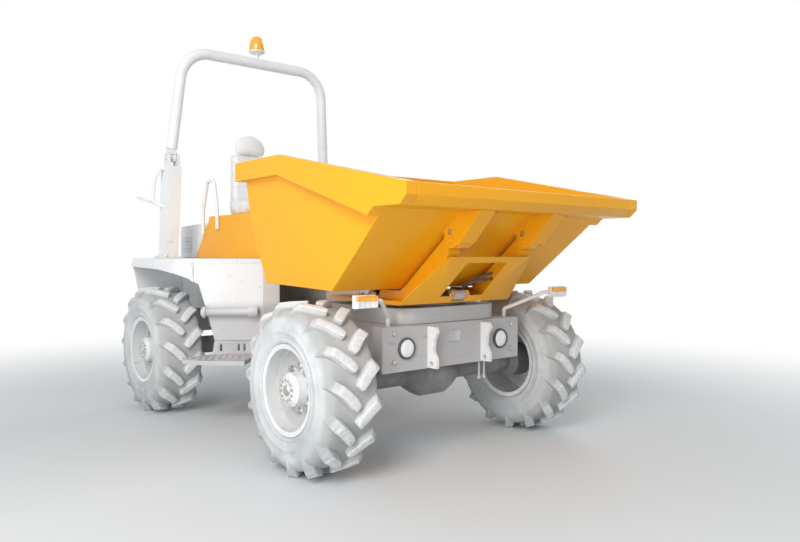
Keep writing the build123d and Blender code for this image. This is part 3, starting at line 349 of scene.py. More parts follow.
# %% One enamel for each coat on the machine
yellow, yellow_chip = (0.93, 0.425, 0.008), (0.52, 0.36, 0.16)
grey, grey_shade, grey_chip = (0.50, 0.50, 0.51), (0.42, 0.42, 0.43), (0.20, 0.19, 0.18)
yellow_paint = enamel("yellow_paint", yellow, (0.84, 0.36, 0.006), yellow_chip, 0.9, 0.2)
grey_paint = enamel("grey_paint", grey, grey_shade, grey_chip, 1.1)
# The pale paint turns mid grey below about one metre: this is painted shade on the lower flank panels.
light_paint = enamel("light_paint", (0.84, 0.845, 0.85), (0.70, 0.71, 0.72), (0.42, 0.41, 0.40), 1.0,
                     patch=(lambda coat: coat.times(coat.along("Z", 0.89, 1.00), 0.8), (0.50, 0.50, 0.505)))


def dish_shade(coat):
    """1 on the wheel's dish, between the hub and the rim's seat, where a darker grey is painted as shade."""
    return coat.times(coat.times(coat.round_axle(0.235, 0.262), coat.round_axle(0.150, 0.118)), 0.85)


# The wheels carry painted shade: the dish between hub and rim is painted a darker grey.
wheel_paint = enamel("wheel_paint", (0.80, 0.805, 0.81), (0.66, 0.67, 0.68), (0.25, 0.24, 0.23), 1.3,
                     patch=(dish_shade, (0.40, 0.405, 0.41)))
plate_paint = enamel("plate_paint", grey, grey_shade, grey_chip, 1.1,
                     patch=(lambda coat: coat.along("Y", -1.387, -1.3835), (0.84, 0.845, 0.85)))

# %% [markdown]
# ## The skip's lining
#
# Spoil slides over the inside of the skip at each tip. It polishes off the paint on the floor and slope, in
# long strokes towards the lip, and leaves soil in the corners. The same plates are clean outside, so the
# lining is chosen by the way a face looks: it goes on faces that point up.

# %% Lined yellow steel


def lined(name):
    """Yellow enamel outside, scoured steel and soil on faces that look up."""
    coat = sprayed(name, yellow, (0.90, 0.40, 0.010))
    up = coat.facing((0, 0.2, 0.98), 0.35, 0.75)
    strokes = coat.between(coat.noise(9, 6, 0.6, (3.2, 0.35, 0.5), 1.0), 0.38, 0.6)
    coat.layer(coat.times(coat.times(up, strokes), 0.9), (0.34, 0.32, 0.30), 0.45)
    soil = coat.between(coat.noise(4, 8, 0.7, (1, 1, 1), 5.0), 0.5, 0.68)
    coat.layer(coat.times(coat.times(up, soil), 0.85), (0.42, 0.36, 0.28), 0.9)
    return knocked(coat, yellow_chip, 15, 0.40, 2.2, 0.006)


lined_paint = lined("lined_paint")

# %% [markdown]
# ## Metal, rubber, plastic, vinyl and glass
#
# Castings are rough and dark with rust in their pores, rods are hard chrome with a film of oil, and
# fasteners are zinc. Rubber, moulded plastic and vinyl differ mostly in grain and sheen. Lenses are clear
# plastic over a reflector, with prism ribs that a bump shows well enough at their true pitch.

# %% Metals


def casting(name, colour, rust):
    metal = Finish(name, colour, 0.6, 0.35)
    metal.layer(metal.times(metal.between(metal.noise(11, 8, 0.7), 0.5, 0.72), 0.55), rust, 0.85)
    metal.layer(metal.times(metal.between(metal.noise(3, 5), 0.4, 0.7), 0.55), dust, 0.9)
    metal.bump(metal.noise(160, 4, 0.6), 0.0008)
    metal.bump(metal.noise(12, 3), 0.002)
    return metal.done()


def plated(name, colour, roughness, haze):
    metal = Finish(name, colour, roughness, 1.0)
    metal.layer(metal.times(metal.between(metal.noise(14, 5), 0.42, 0.7), haze), (0.42, 0.40, 0.37), 0.5)
    metal.bump(metal.noise(600, 2, 0.5, (1, 0.04, 1)), 0.00005)
    return metal.done()


dark_steel = casting("dark_steel", (0.23, 0.23, 0.24), (0.21, 0.15, 0.12))
ram_steel = casting("ram_steel", (0.52, 0.52, 0.53), (0.32, 0.26, 0.22))
rod_chrome = plated("rod_chrome", (0.86, 0.87, 0.88), 0.08, 0.25)
bolt_zinc = plated("bolt_zinc", (0.66, 0.66, 0.63), 0.32, 0.6)

# %% Moulded and sewn


def moulded(name, colour, roughness, grain, **sockets):
    skin = Finish(name, colour, roughness, **sockets)
    skin.layer(skin.times(skin.between(skin.noise(6, 5), 0.4, 0.75), 0.5),
               tuple(c * 0.8 + 0.06 for c in colour), roughness + 0.12)
    skin.layer(skin.times(skin.between(skin.noise(2.5, 7, 0.7), 0.52, 0.75), 0.4), dust, 0.85)
    cells = skin.node("ShaderNodeTexVoronoi")
    skin.wire(skin.place, cells.inputs["Vector"])
    cells.inputs["Scale"].default_value = grain
    skin.bump(cells.outputs["Distance"], 0.0003)
    return skin.done()


black_plastic = moulded("black_plastic", (0.055, 0.057, 0.062), 0.45, 900)
black_rubber = moulded("black_rubber", (0.10, 0.10, 0.105), 0.7, 500)
seat_vinyl = moulded("seat_vinyl", (0.84, 0.84, 0.845), 0.5, 420, Sheen_Weight=0.15)

# %% Lenses


def lens(name, colour, pitch, axis=2):
    """Clear coloured plastic with prism ribs across one axis, as many a metre as pitch says."""
    clear = Finish(name, colour, 0.12, Coat_Weight=0.8, Coat_Roughness=0.03)
    deep = clear.between(clear.noise(30, 3), 0.3, 0.8)
    clear.layer(clear.times(deep, 0.35), tuple(c * 0.72 for c in colour), 0.16)
    ribs = clear.node("ShaderNodeTexWave", bands_direction="XYZ"[axis])
    clear.wire(clear.place, ribs.inputs["Vector"])
    ribs.inputs["Scale"].default_value = pitch / 20
    ribs.inputs["Distortion"].default_value = 0
    clear.bump(ribs.outputs["Fac"], 0.0012)
    return clear.done()


lamp_lens = lens("lamp_lens", (0.90, 0.92, 0.93), 130, 0)
white_lens = lens("white_lens", (0.84, 0.85, 0.85), 160, 0)
amber_lens = lens("amber_lens", (0.98, 0.42, 0.01), 160, 0)
red_lens = lens("red_lens", (0.62, 0.03, 0.02), 160, 0)

# %% [markdown]
# ## Tyre rubber
#
# A dumper's tyres are never black at work. Dried mud dust fills the grooves and hazes the walls, and the
# faces of the lugs are scoured near white, partly wear and partly a painted highlight. Towards the ground
# the rubber is painted darker as shade. The rubber reads a value that the tyre keeps at each point, how far
# it stands out, so the same finish suits all four wheels wherever they are.

# %% Rubber


def tread_rubber(name):
    rubber = Finish(name, (0.66, 0.67, 0.675), 0.78, Specular_IOR_Level=0.25)
    out = rubber.node("ShaderNodeAttribute", attribute_name="stands_out").outputs["Fac"]
    haze = rubber.between(rubber.noise(5, 7, 0.66), 0.35, 0.7)
    rubber.layer(rubber.times(haze, 0.6), (0.40, 0.42, 0.425), 0.85)
    # Painted shade: the rubber turns a darker blue-grey towards the ground, below 0.75 m.
    low = rubber.times(rubber.along("Z", 0.0, 0.75), rubber.between(rubber.noise(3, 5), 0.25, 0.6))
    rubber.layer(rubber.times(low, 0.6), (0.33, 0.37, 0.375), 0.85)
    groove = rubber.between(out, 0.515, 0.495)
    tread = rubber.between(out, 0.42, 0.47)
    rubber.layer(rubber.times(rubber.times(groove, tread), 0.6), (0.36, 0.355, 0.34), 0.95)
    # The lug faces are painted near white: partly scouring, partly a painted highlight.
    scoured_tops_and_highlight = rubber.between(out, 0.530, 0.537)
    scuffs = rubber.between(rubber.noise(40, 5, 0.7), 0.25, 0.6)
    rubber.layer(rubber.times(scoured_tops_and_highlight, scuffs), (0.80, 0.80, 0.80), 0.7)
    rubber.bump(rubber.noise(220, 4, 0.6), 0.0007)
    rubber.bump(rubber.noise(18, 4, 0.6), 0.0016)
    return rubber.done()


tyre_rubber = tread_rubber("tyre_rubber")

# %% Give each CAD node its finish
finishes = {
    "tyre": tyre_rubber, "wheel_paint": wheel_paint, "dark_steel": dark_steel, "grey_paint": grey_paint,
    "light_paint": light_paint, "yellow_paint": yellow_paint, "lamp_lens": lamp_lens,
    "amber_lens": amber_lens, "red_lens": red_lens, "ram_steel": ram_steel, "rod_chrome": rod_chrome,
    "seat_vinyl": seat_vinyl, "black_plastic": black_plastic}
for part in frame["record"]["subparts"]:
    node = nodes[part["node"]]
    for place in node.material_slots:
        place.material = finishes[part["material_slot"]]
for name in ("skip_floor", "skip_back", "skip_side_left", "skip_side_right"):
    nodes[name].material_slots[0].material = lined_paint
nodes["front_plate"].material_slots[0].material = plate_paint
print("finishes on", len(nodes), "nodes")

# %% [markdown]
# ## Softer edges on the plates
#
# No sheared or welded plate has a knife edge: it is ground or folded to a small radius, which catches a
# thin line of light. The CAD solids stay as they are. Live modifiers weld their triangles, merge the flat
# ones and round the corners by a few millimetres, which is cheaper and truer than modelling the plates
# again.

# %% Round the plates' edges
edge_radius = {
    "front_plate": 0.004, "front_chassis": 0.005, "slew_ring": 0.006, "swivel_frame": 0.004,
    "rear_chassis": 0.005, "tail_weight": 0.010, "fender_left": 0.005, "fender_right": 0.005,
    "tank_left": 0.008, "tank_right": 0.008, "step_left": 0.002, "step_right": 0.002,
    "console": 0.012, "engine_cover": 0.006, "bonnet": 0.007, "chair_base": 0.005, "roll_legs": 0.006,
    "skip_floor": 0.002, "skip_back": 0.003, "skip_lip": 0.006,
    "skip_side_left": 0.004, "skip_side_right": 0.004, "skip_ribs": 0.003, "lock_bar": 0.003,
    "engine": 0.012}
for name, radius in edge_radius.items():
    node = nodes[name]
    weld = node.modifiers.new("weld", "WELD")
    weld.merge_threshold = 0.00002
    flat = node.modifiers.new("merge_flats", "DECIMATE")
    flat.decimate_type, flat.angle_limit = "DISSOLVE", math.radians(0.6)
    soft = node.modifiers.new("round_edges", "BEVEL")
    soft.width, soft.segments, soft.limit_method = radius, 2, "ANGLE"
    soft.angle_limit = math.radians(32)
    soft.harden_normals = False
print("rounded", len(edge_radius), "nodes")

# %% [markdown]
# ## A few hand tools
#
# The pieces below are modelled as at the bench: a primitive, some edit-mode steps, then modifiers that are
# applied. These helpers only save repeating the clicks: start a primitive alone, open it for editing, pick
# faces by their place, spin an outline, copy a finished shape to many places, and settle it on its body.

# %% Start, edit and pick


def start(add, name, **how):
    """Add one primitive with nothing else selected, and name it."""
    bpy.ops.object.select_all(action="DESELECT")
    add(**how)
    piece = bpy.context.object
    piece.name = piece.data.name = name
    return piece


def only(*pieces):
    """Select these pieces alone, with the first one active."""
    bpy.ops.object.select_all(action="DESELECT")
    for piece in pieces:
        piece.select_set(True)
    bpy.context.view_layer.objects.active = pieces[0]


@contextmanager
def editing(piece, kind="FACE"):
    """Open a piece in edit mode with nothing picked."""
    only(piece)
    bpy.ops.object.mode_set(mode="EDIT")
    bpy.ops.mesh.select_mode(type=kind)
    bpy.ops.mesh.select_all(action="DESELECT")
    yield
    bpy.ops.object.mode_set(mode="OBJECT")


def pick(test):
    """Pick the faces whose centre and normal pass the test, in the piece's own frame."""
    mesh = bpy.context.object.data
    shape = bmesh.from_edit_mesh(mesh)
    for face in shape.faces:
        face.select_set(bool(test(face.calc_center_median(), face.normal)))
    bmesh.update_edit_mesh(mesh)


def sink(test, rim, move):
    """Pick a face, inset it by the rim, and push what lies inside the rim by the move."""
    bpy.ops.mesh.select_all(action="DESELECT")
    pick(test)
    bpy.ops.mesh.inset(thickness=rim, depth=0)
    bpy.ops.mesh.extrude_region_move(TRANSFORM_OT_translate={"value": move})


def block(name, low, high):
    """A box between two corners."""
    low, high = Vector(low), Vector(high)
    piece = start(bpy.ops.mesh.primitive_cube_add, name, size=1, location=(low + high) / 2)
    piece.scale = high - low
    bpy.ops.object.transform_apply(location=False, rotation=False, scale=True)
    return piece


def rounded(piece, width, segments=3, limit=30):
    soft = piece.modifiers.new("soft_edges", "BEVEL")
    soft.width, soft.segments = width, segments
    soft.limit_method, soft.angle_limit = "ANGLE", math.radians(limit)
    return piece


# %% Spin, copy and settle


def spun(name, outline, steps=48):
    """Spin an outline of (radius, height) points once round Z."""
    piece = start(bpy.ops.mesh.primitive_plane_add, name, size=0.01)
    with editing(piece, "VERT"):
        bpy.ops.mesh.select_all(action="SELECT")
        bpy.ops.mesh.merge(type="CENTER")
        bpy.ops.transform.translate(value=(outline[0][0], 0, outline[0][1]))
        for (r0, h0), (r1, h1) in zip(outline, outline[1:]):
            bpy.ops.mesh.extrude_vertices_move(TRANSFORM_OT_translate={"value": (r1 - r0, 0, h1 - h0)})
        bpy.ops.mesh.select_all(action="SELECT")
        bpy.ops.mesh.spin(steps=steps, angle=math.tau, center=(0, 0, 0), axis=(0, 0, 1))
        bpy.ops.mesh.select_all(action="SELECT")
        bpy.ops.mesh.remove_doubles(threshold=0.00002)
        bpy.ops.mesh.normals_make_consistent(inside=False)
    return piece


def at(x, y, z, tilt=0.0, turn=0.0, roll=0.0):
    """A place, turned about X by tilt, then about Y by roll and about Z by turn, in degrees."""
    return (Matrix.Translation((x, y, z)) @ Matrix.Rotation(math.radians(turn), 4, "Z")
            @ Matrix.Rotation(math.radians(roll), 4, "Y") @ Matrix.Rotation(math.radians(tilt), 4, "X"))


def bake_down(piece):
    """Apply a piece's transform and modifiers."""
    only(piece)
    bpy.ops.object.transform_apply(location=True, rotation=True, scale=True)
    for modifier in list(piece.modifiers):
        bpy.ops.object.modifier_apply(modifier=modifier.name)
    return piece


def joined(name, *pieces):
    """Join pieces into one of this name."""
    for piece in pieces:
        bake_down(piece)
    only(*pieces)
    if len(pieces) > 1:
        bpy.ops.object.join()
    pieces[0].name = pieces[0].data.name = name
    return pieces[0]


def copies(name, piece, places):
    """Copy a shape to each place, and join the copies into one piece."""
    bake_down(piece)
    made = []
    for place in places:
        copy = piece.copy()
        copy.data = piece.data.copy()
        copy.data.transform(place)
        bpy.context.scene.collection.objects.link(copy)
        made.append(copy)
    bpy.data.objects.remove(piece)
    return joined(name, *made)


def settle(piece, finish, body, smooth=32):
    """Apply everything, smooth it, give it its finish and let it ride on its body."""
    bake_down(piece)
    bpy.ops.object.shade_smooth_by_angle(angle=math.radians(smooth))
    piece.data.materials.clear()
    piece.data.materials.append(finish)
    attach(piece, body)
    print(f"{piece.name}: {sum(len(p.vertices) - 2 for p in piece.data.polygons)} triangles on {body}")
    return piece


# %% Bolts and pipes


def hex_bolt(across, tall):
    """A hexagon head on a washer, pointing up from the origin."""
    head = start(bpy.ops.mesh.primitive_cylinder_add, "head", vertices=6, radius=across / math.sqrt(3),
                 depth=tall, location=(0, 0, tall / 2 + 0.003))
    rounded(head, across * 0.05, 2, 60)
    washer = start(bpy.ops.mesh.primitive_cylinder_add, "washer", vertices=24, radius=across * 0.68,
                   depth=0.006, location=(0, 0, 0.001))
    rounded(washer, 0.001, 1)
    return joined("bolt", head, washer)


def along_line(name, kind, points, radius, ring):
    """A tube along a line through these points, still a curve, and the line itself."""
    line = bpy.data.curves.new(name, "CURVE")
    line.dimensions = "3D"
    line.bevel_depth, line.bevel_resolution, line.use_fill_caps = radius, ring, True
    run = line.splines.new(kind)
    run.points.add(len(points) - 1)
    for point, place in zip(run.points, points):
        point.co = (*place, 1)
    tube = bpy.data.objects.new(name, line)
    bpy.context.scene.collection.objects.link(tube)
    return tube, run


def meshed(tube):
    """Turn a curve into a mesh."""
    only(tube)
    bpy.ops.object.convert(target="MESH")
    return bpy.context.object


def pipe(name, points, radius):
    """A smooth pipe led by a few guide points."""
    tube, run = along_line(name, "NURBS", points, radius, 3)
    run.order_u, run.use_endpoint_u, run.resolution_u = 3, True, 8
    return meshed(tube)


def bead(start_point, end_point, radius):
    """A weld bead: a thin tube whose size ripples along its run."""
    a, b = Vector(start_point), Vector(end_point)
    count = max(4, int((b - a).length / 0.011))
    tube, run = along_line("bead", "POLY", [a + (b - a) * n / count for n in range(count + 1)], radius, 1)
    for n, point in enumerate(run.points):
        point.radius = 1.0 if n % 2 else 0.72
    return meshed(tube)


print("tools ready")

# %% [markdown]
# ## The tyres
#
# A traction tyre has deep bars in two slanted rows that meet near the middle of the tread, and walls with a
# few moulded rings. A bump on a smooth casing would look flat at the outline, so the bars are real. One
# casing is spun from its outline, one bar is shaped from a block and wrapped on the tread, and the rest are
# copies turned round the axle.

# %% Casing
casing_outline = (        # radius, distance from the wheel's middle plane
    (0.262, -0.160), (0.286, -0.163), (0.288, -0.176), (0.300, -0.182), (0.304, -0.1865), (0.312, -0.1865),
    (0.316, -0.184), (0.336, -0.1895), (0.352, -0.1925), (0.356, -0.1955), (0.366, -0.1955),
    (0.370, -0.1925), (0.400, -0.1925), (0.430, -0.188), (0.447, -0.181), (0.470, -0.168),
    (0.484, -0.156), (0.492, -0.140), (0.496, -0.110), (0.499, -0.060), (0.500, 0.0))
both_sides = casing_outline + tuple((r, -h) for r, h in reversed(casing_outline[:-1]))
casing = spun("casing", both_sides + (casing_outline[0],), 96)

# %% One bar, wrapped on the tread
slant = math.radians(42)
bar_half = 0.037
bar_start, bar_end = 0.008, 0.2298
tread_r = 0.540
bar = block("bar", (bar_start, -bar_half, 0), (bar_end, bar_half, 1))
with editing(bar, "EDGE"):
    shape = bmesh.from_edit_mesh(bar.data)
    for edge in shape.edges:
        ends = [v.co for v in edge.verts]
        edge.select_set(abs(ends[0].x - ends[1].x) > 0.05)
    bmesh.update_edit_mesh(bar.data)
    bpy.ops.mesh.subdivide(number_cuts=9)
shape = bmesh.new()
shape.from_mesh(bar.data)
middle = (bar_start + bar_end) / 2
for vert in shape.verts:
    along, across, top = vert.co.x + middle, vert.co.y, vert.co.z > 0
    run = (along - bar_start) / (bar_end - bar_start)
    nose = 1 - max(0.0, 0.16 - run) * 2.2
    across *= (0.80 if top else 1.10) * nose * (1 + 0.10 * max(0.0, run - 0.55))
    radius = tread_r - 0.0005 if top else 0.478
    if top:
        radius -= 0.050 * max(0.0, (run - 0.80) / 0.20) ** 1.6
        along = bar_start + (along - bar_start) * 0.985
    else:
        radius -= 0.055 * max(0.0, (run - 0.70) / 0.30)
    bend = 0.010 * math.sin(math.pi * run)
    side = along * math.cos(slant) - (across + bend) * math.sin(slant)
    round_way = along * math.sin(slant) + (across + bend) * math.cos(slant)
    vert.co = (min(side, 0.1955), round_way, math.sqrt(radius ** 2 - round_way ** 2))
bmesh.ops.recalc_face_normals(shape, faces=shape.faces)
shape.to_mesh(bar.data)
shape.free()
bar.location = (0, 0, 0)
rounded(bar, 0.005, 2, 38)
bake_down(bar)
print("bar:", len(bar.data.polygons), "faces")

# %% Thirty bars and four tyres
bar_pitch = 24
row_bars = 360 // bar_pitch
right_row = [Matrix.Rotation(math.radians(bar_pitch * n + bar_pitch / 2), 4, "X") for n in range(row_bars)]
left_row = [Matrix.Rotation(math.radians(bar_pitch * n), 4, "X") @ Matrix.Scale(-1, 4, (1, 0, 0))
            for n in range(row_bars)]
bars = copies("bars", bar, right_row + left_row)
with editing(bars):
    bpy.ops.mesh.select_all(action="SELECT")
    bpy.ops.mesh.normals_make_consistent(inside=False)
casing.rotation_euler = (0, math.radians(90), 0)
tyre = joined("tyre", casing, bars)
out = tyre.data.attributes.new("stands_out", "FLOAT", "POINT")
out.data.foreach_set("value", [math.hypot(v.co.y, v.co.z) for v in tyre.data.vertices])
for end in ("front", "rear"):
    for side in ("left", "right"):
        low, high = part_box(f"tyre_{end}_{side}")
        copy = tyre.copy()
        copy.data = tyre.data.copy()
        copy.name = copy.data.name = f"lugged_tyre_{end}_{side}"
        copy.data.transform(Matrix.Translation((low + high) / 2))
        bpy.context.scene.collection.objects.link(copy)
        settle(copy, tyre_rubber, f"wheel_{end}_{side}", smooth=40)
        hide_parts(f"tyre_{end}_{side}")
bpy.data.objects.remove(tyre)

# %% [markdown]
# ## Wheel nuts and hub bolts
#
# Ten big nuts hold each wheel to its hub reduction, and a ring of smaller bolts closes the hub. They are
# the first thing that tells the size of a wheel. One nut is a hexagon with a chamfer, turned round the hub
# in copies.

# %% Nuts on all four wheels


def circle(face, count, radius, height, first=0):
    """Places evenly round a face's centre, at this height over it."""
    return [face @ Matrix.Rotation(math.radians(360 / count * n + first), 4, "Z")
            @ Matrix.Translation((radius, 0, height)) for n in range(count)]


for end in ("front", "rear"):
    for side, way in sides:
        low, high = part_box(f"tyre_{end}_{side}")
        hub = (low + high) / 2
        face = Matrix.Translation(hub) @ Matrix.Rotation(math.radians(90 * way), 4, "Y")
        nuts = copies("nuts", hex_bolt(0.034, 0.020), circle(face, 10, 0.138, 0.0725))
        caps = copies("caps", hex_bolt(0.015, 0.008), circle(face, 12, 0.064, 0.1635, first=9))
        plug = spun("plug", ((0, 0.163), (0.028, 0.163), (0.034, 0.172), (0.031, 0.1755), (0, 0.1755)), 32)
        plug.data.transform(face)
        settle(joined(f"wheel_nuts_{end}_{side}", nuts, caps, plug), bolt_zinc, f"wheel_{end}_{side}")

# %% [markdown]
# ## The front plate
#
# The thick plate that guards the front axle carries two round lamps, a blank plate between the tie-down
# brackets, and two bolts near each end. A flat disc would do for a lamp from afar, but the glass is a
# shallow dome in a proud rubber ring, so both are spun from their outlines.

# %% Lamps
lamp_low, lamp_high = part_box("head_lamps")
lamp_z = (lamp_low.z + lamp_high.z) / 2
lamp_r = (lamp_high.z - lamp_low.z) / 2
plate_face = lamp_low.y + 0.022
glass_outline = (         # radius, height over the plate
    (0, 0.021), (0.020, 0.0206), (0.040, 0.0185), (0.054, 0.0145), (0.058, 0.010), (0.058, -0.012),
    (0, -0.012))
ring_outline = (
    (0.0575, -0.010), (0.0575, 0.012), (0.061, 0.0165), (0.066, 0.0165), (0.0695, 0.011), (0.0695, -0.010),
    (0.0575, -0.010))
for side, way in sides:
    glass = spun(f"lamp_glass_{side}", glass_outline)
    ring = spun(f"lamp_ring_{side}", ring_outline)
    for part, finish in ((glass, lamp_lens), (ring, black_rubber)):
        part.data.transform(at(way * (lamp_high.x - lamp_r), plate_face, lamp_z, 90))
        settle(part, finish, "front_body", smooth=40)
    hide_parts("head_lamps")

# %% Blank plate and bolts
blank = block("blank_plate", (-0.058, plate_face - 0.006, 0.783), (0.041, plate_face + 0.002, 0.858))
with editing(blank):
    sink(lambda c, n: n.y < -0.9, 0.005, (0, 0.0015, 0))
rounded(blank, 0.001, 2)
settle(blank, light_paint, "front_body")
bolts = copies("plate_bolts", hex_bolt(0.024, 0.012), [
    at(x, plate_face, z, 90) for z in (0.685, 0.865) for x in (-0.55, 0.55)])
settle(bolts, bolt_zinc, "front_body")

# %% [markdown]
# ## Direction indicators
#
# Each is a small moulded box at the end of a bent tube: a dark back shell, an amber lens above and a clear
# one below. Splitting the box into three gives the real joints between them, which a painted line would
# not.

# %% Indicators
ind_low, ind_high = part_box("indicators")
for side, way in sides:
    x0, x1 = sorted((way * ind_high.x, way * (ind_high.x - 0.150)))
    shell = block(f"indicator_shell_{side}", (x0, ind_low.y + 0.026, ind_low.z),
                  (x1, ind_high.y, ind_high.z))
    with editing(shell):
        sink(lambda c, n: n.y > 0.9, 0.012, (0, -0.002, 0))
    settle(rounded(shell, 0.009, 3), light_paint, "front_body")
    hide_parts("indicators")
    split = ind_low.z + 0.042
    for name, low, high, finish in (("amber", split, ind_high.z - 0.004, amber_lens),
                                    ("clear", ind_low.z + 0.004, split, white_lens)):
        cover = block(f"indicator_{name}_{side}", (x0 + 0.004, ind_low.y, low),
                      (x1 - 0.004, ind_low.y + 0.027, high))
        with editing(cover):
            sink(lambda c, n: n.y < -0.9, 0.006, (0, 0.002, 0))
        settle(rounded(cover, 0.004, 3), finish, "front_body")

# %% [markdown]
# ## The seat
#
# The chair has a thick cushion, a tall back with cross seams and a round headrest, all in vinyl over foam.
# Foam bulges between its seams, so each pad starts as a simple closed block, is remeshed evenly, and Cloth
# blows it out a little, with a cap on how far any point may go. The seams are pressed in afterwards.

# %% Blow up a pad


def puff(pad, voxel, cap):
    """Remesh a closed block evenly, swell it with Cloth, cap each point's way, and subdivide once."""
    bake_down(pad)
    even = pad.modifiers.new("even", "REMESH")
    even.mode, even.voxel_size = "VOXEL", voxel
    bake_down(pad)
    rest = [v.co.copy() for v in pad.data.vertices]
    cloth = pad.modifiers.new("swell", "CLOTH")
    cloth.settings.use_pressure = True
    cloth.settings.uniform_pressure_force = 4
    cloth.settings.effector_weights.gravity = 0
    cloth.point_cache.frame_start, cloth.point_cache.frame_end = 1, 20
    for moment in range(1, 21):
        bpy.context.scene.frame_set(moment)
    grown = pad.evaluated_get(bpy.context.evaluated_depsgraph_get()).to_mesh()
    for vert, home, new in zip(pad.data.vertices, rest, [v.co.copy() for v in grown.vertices]):
        way = new - home
        vert.co = home + way * min(1.0, cap / max(way.length, 1e-9))
    pad.modifiers.remove(cloth)
    bpy.context.scene.frame_set(1)
    fine = pad.modifiers.new("fine", "SUBSURF")
    fine.levels = fine.render_levels = 1
    bake_down(pad)


def press_seams(pad, axis, places, depth=0.007, width=0.011):
    """Press sewn channels into the faces, across one axis, at these places."""
    outward = [v.normal.copy() for v in pad.data.vertices]
    for vert, way in zip(pad.data.vertices, outward):
        near = min(abs(vert.co[axis] - place) for place in places)
        if near < 2.5 * width:
            vert.co = vert.co - way * depth * math.exp(-(near / width) ** 2)


# %% Cushion
low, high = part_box("chair_cushion")
cushion = block("seat_cushion", low + Vector((0.012, 0.012, 0.002)), high - Vector((0.012, 0.014, 0.014)))
with editing(cushion):
    pick(lambda c, n: n.z > 0.9)
    bpy.ops.mesh.inset(thickness=0.05, depth=0)
    bpy.ops.transform.translate(value=(0, 0, -0.010))
puff(rounded(cushion, 0.028, 4), 0.006, 0.012)
press_seams(cushion, 1, (low.y + 0.16, low.y + 0.29))
settle(cushion, seat_vinyl, "rear_body", smooth=60)
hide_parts("chair_cushion")

# %% Backrest
low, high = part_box("chair_back")
backrest = block("seat_back", (low.x + 0.012, 0, 0), (high.x - 0.012, 0.105, high.z - low.z - 0.024))
with editing(backrest):
    pick(lambda c, n: n.z > 0.9)
    bpy.ops.transform.resize(value=(0.80, 1, 1))
    bpy.ops.mesh.select_all(action="DESELECT")
    pick(lambda c, n: n.y < -0.9)
    bpy.ops.mesh.inset(thickness=0.06, depth=0)
    bpy.ops.transform.translate(value=(0, 0.008, 0))
lean = math.atan2(0.072, 0.595)
backrest.data.transform(Matrix.Rotation(-lean, 4, "X"))
backrest.location = (0, low.y + 0.066, (low.z + high.z) / 2 + 0.004)
puff(rounded(backrest, 0.032, 4), 0.0065, 0.012)
press_seams(backrest, 2, (1.90, 2.02, 2.14, 2.26))
settle(backrest, seat_vinyl, "rear_body", smooth=60)
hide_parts("chair_back")

# %% Headrest
low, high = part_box("chair_headrest")
middle = (low + high) / 2
headrest = start(bpy.ops.mesh.primitive_uv_sphere_add, "seat_headrest", segments=40, ring_count=24,
                 radius=0.5, location=(middle.x, middle.y, low.z + 0.048))
headrest.scale = (high.x - low.x - 0.02, high.y - low.y - 0.012, 2 * (high.z - low.z - 0.052))
bake_down(headrest)
with editing(headrest, "VERT"):
    bpy.ops.mesh.select_all(action="SELECT")
    bpy.ops.mesh.bisect(plane_co=(0, 0, low.z - 0.013), plane_no=(0, 0, 1), clear_inner=True,
                        use_fill=True)
puff(rounded(headrest, 0.008, 3), 0.005, 0.005)
settle(headrest, seat_vinyl, "rear_body", smooth=60)
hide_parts("chair_headrest")

# %% [markdown]
# ## The beacon
#
# The flashing beacon is an amber dome on a short stem with a pale collar. A stretched ball would be too
# round at its foot, so the dome is spun from its outline, and its flutes come with the lens finish. The
# collar and stem are a separate turned piece, as they are on the real lamp.

# %% Beacon
low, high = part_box("beacon")
middle = (low + high) / 2
foot, tall = low.z, high.z - low.z
dome_outline = (          # radius, drop from the dome's top
    (0, 0.0005), (0.014, 0.0012), (0.028, 0.0042), (0.040, 0.011), (0.051, 0.022), (0.060, 0.037),
    (0.067, 0.056), (0.0715, 0.078), (0.074, 0.100), (0.0755, 0.124), (0.0755, 0.140), (0.073, 0.143),
    (0, 0.143))
dome = spun("beacon_dome", [(r, tall - drop) for r, drop in dome_outline], 72)
dome.data.transform(at(middle.x, middle.y, foot))
settle(dome, amber_lens, "hoop_body", smooth=40)
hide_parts("beacon")
collar_outline = (        # radius, height above the stem's foot
    (0, 0.002), (0.023, 0.002), (0.0235, 0.036), (0.028, 0.042), (0.050, 0.050), (0.068, 0.058),
    (0.0775, 0.066), (0.0775, 0.080), (0.0740, 0.083), (0, 0.083))
collar = spun("beacon_collar", [(r, min(h, tall - 0.141)) for r, h in collar_outline], 56)
collar.data.transform(at(middle.x, middle.y, foot))
settle(collar, light_paint, "hoop_body", smooth=40)

# %% [markdown]
# ## The roll bar's fittings
#
# Each leg stands on a flange with four bolts, and its hinge pin has a turned head on each side. A flange is
# a plate with bevelled corners. The pins could be left as the CAD has them, but their heads are what tells
# the eye that the hoop folds.

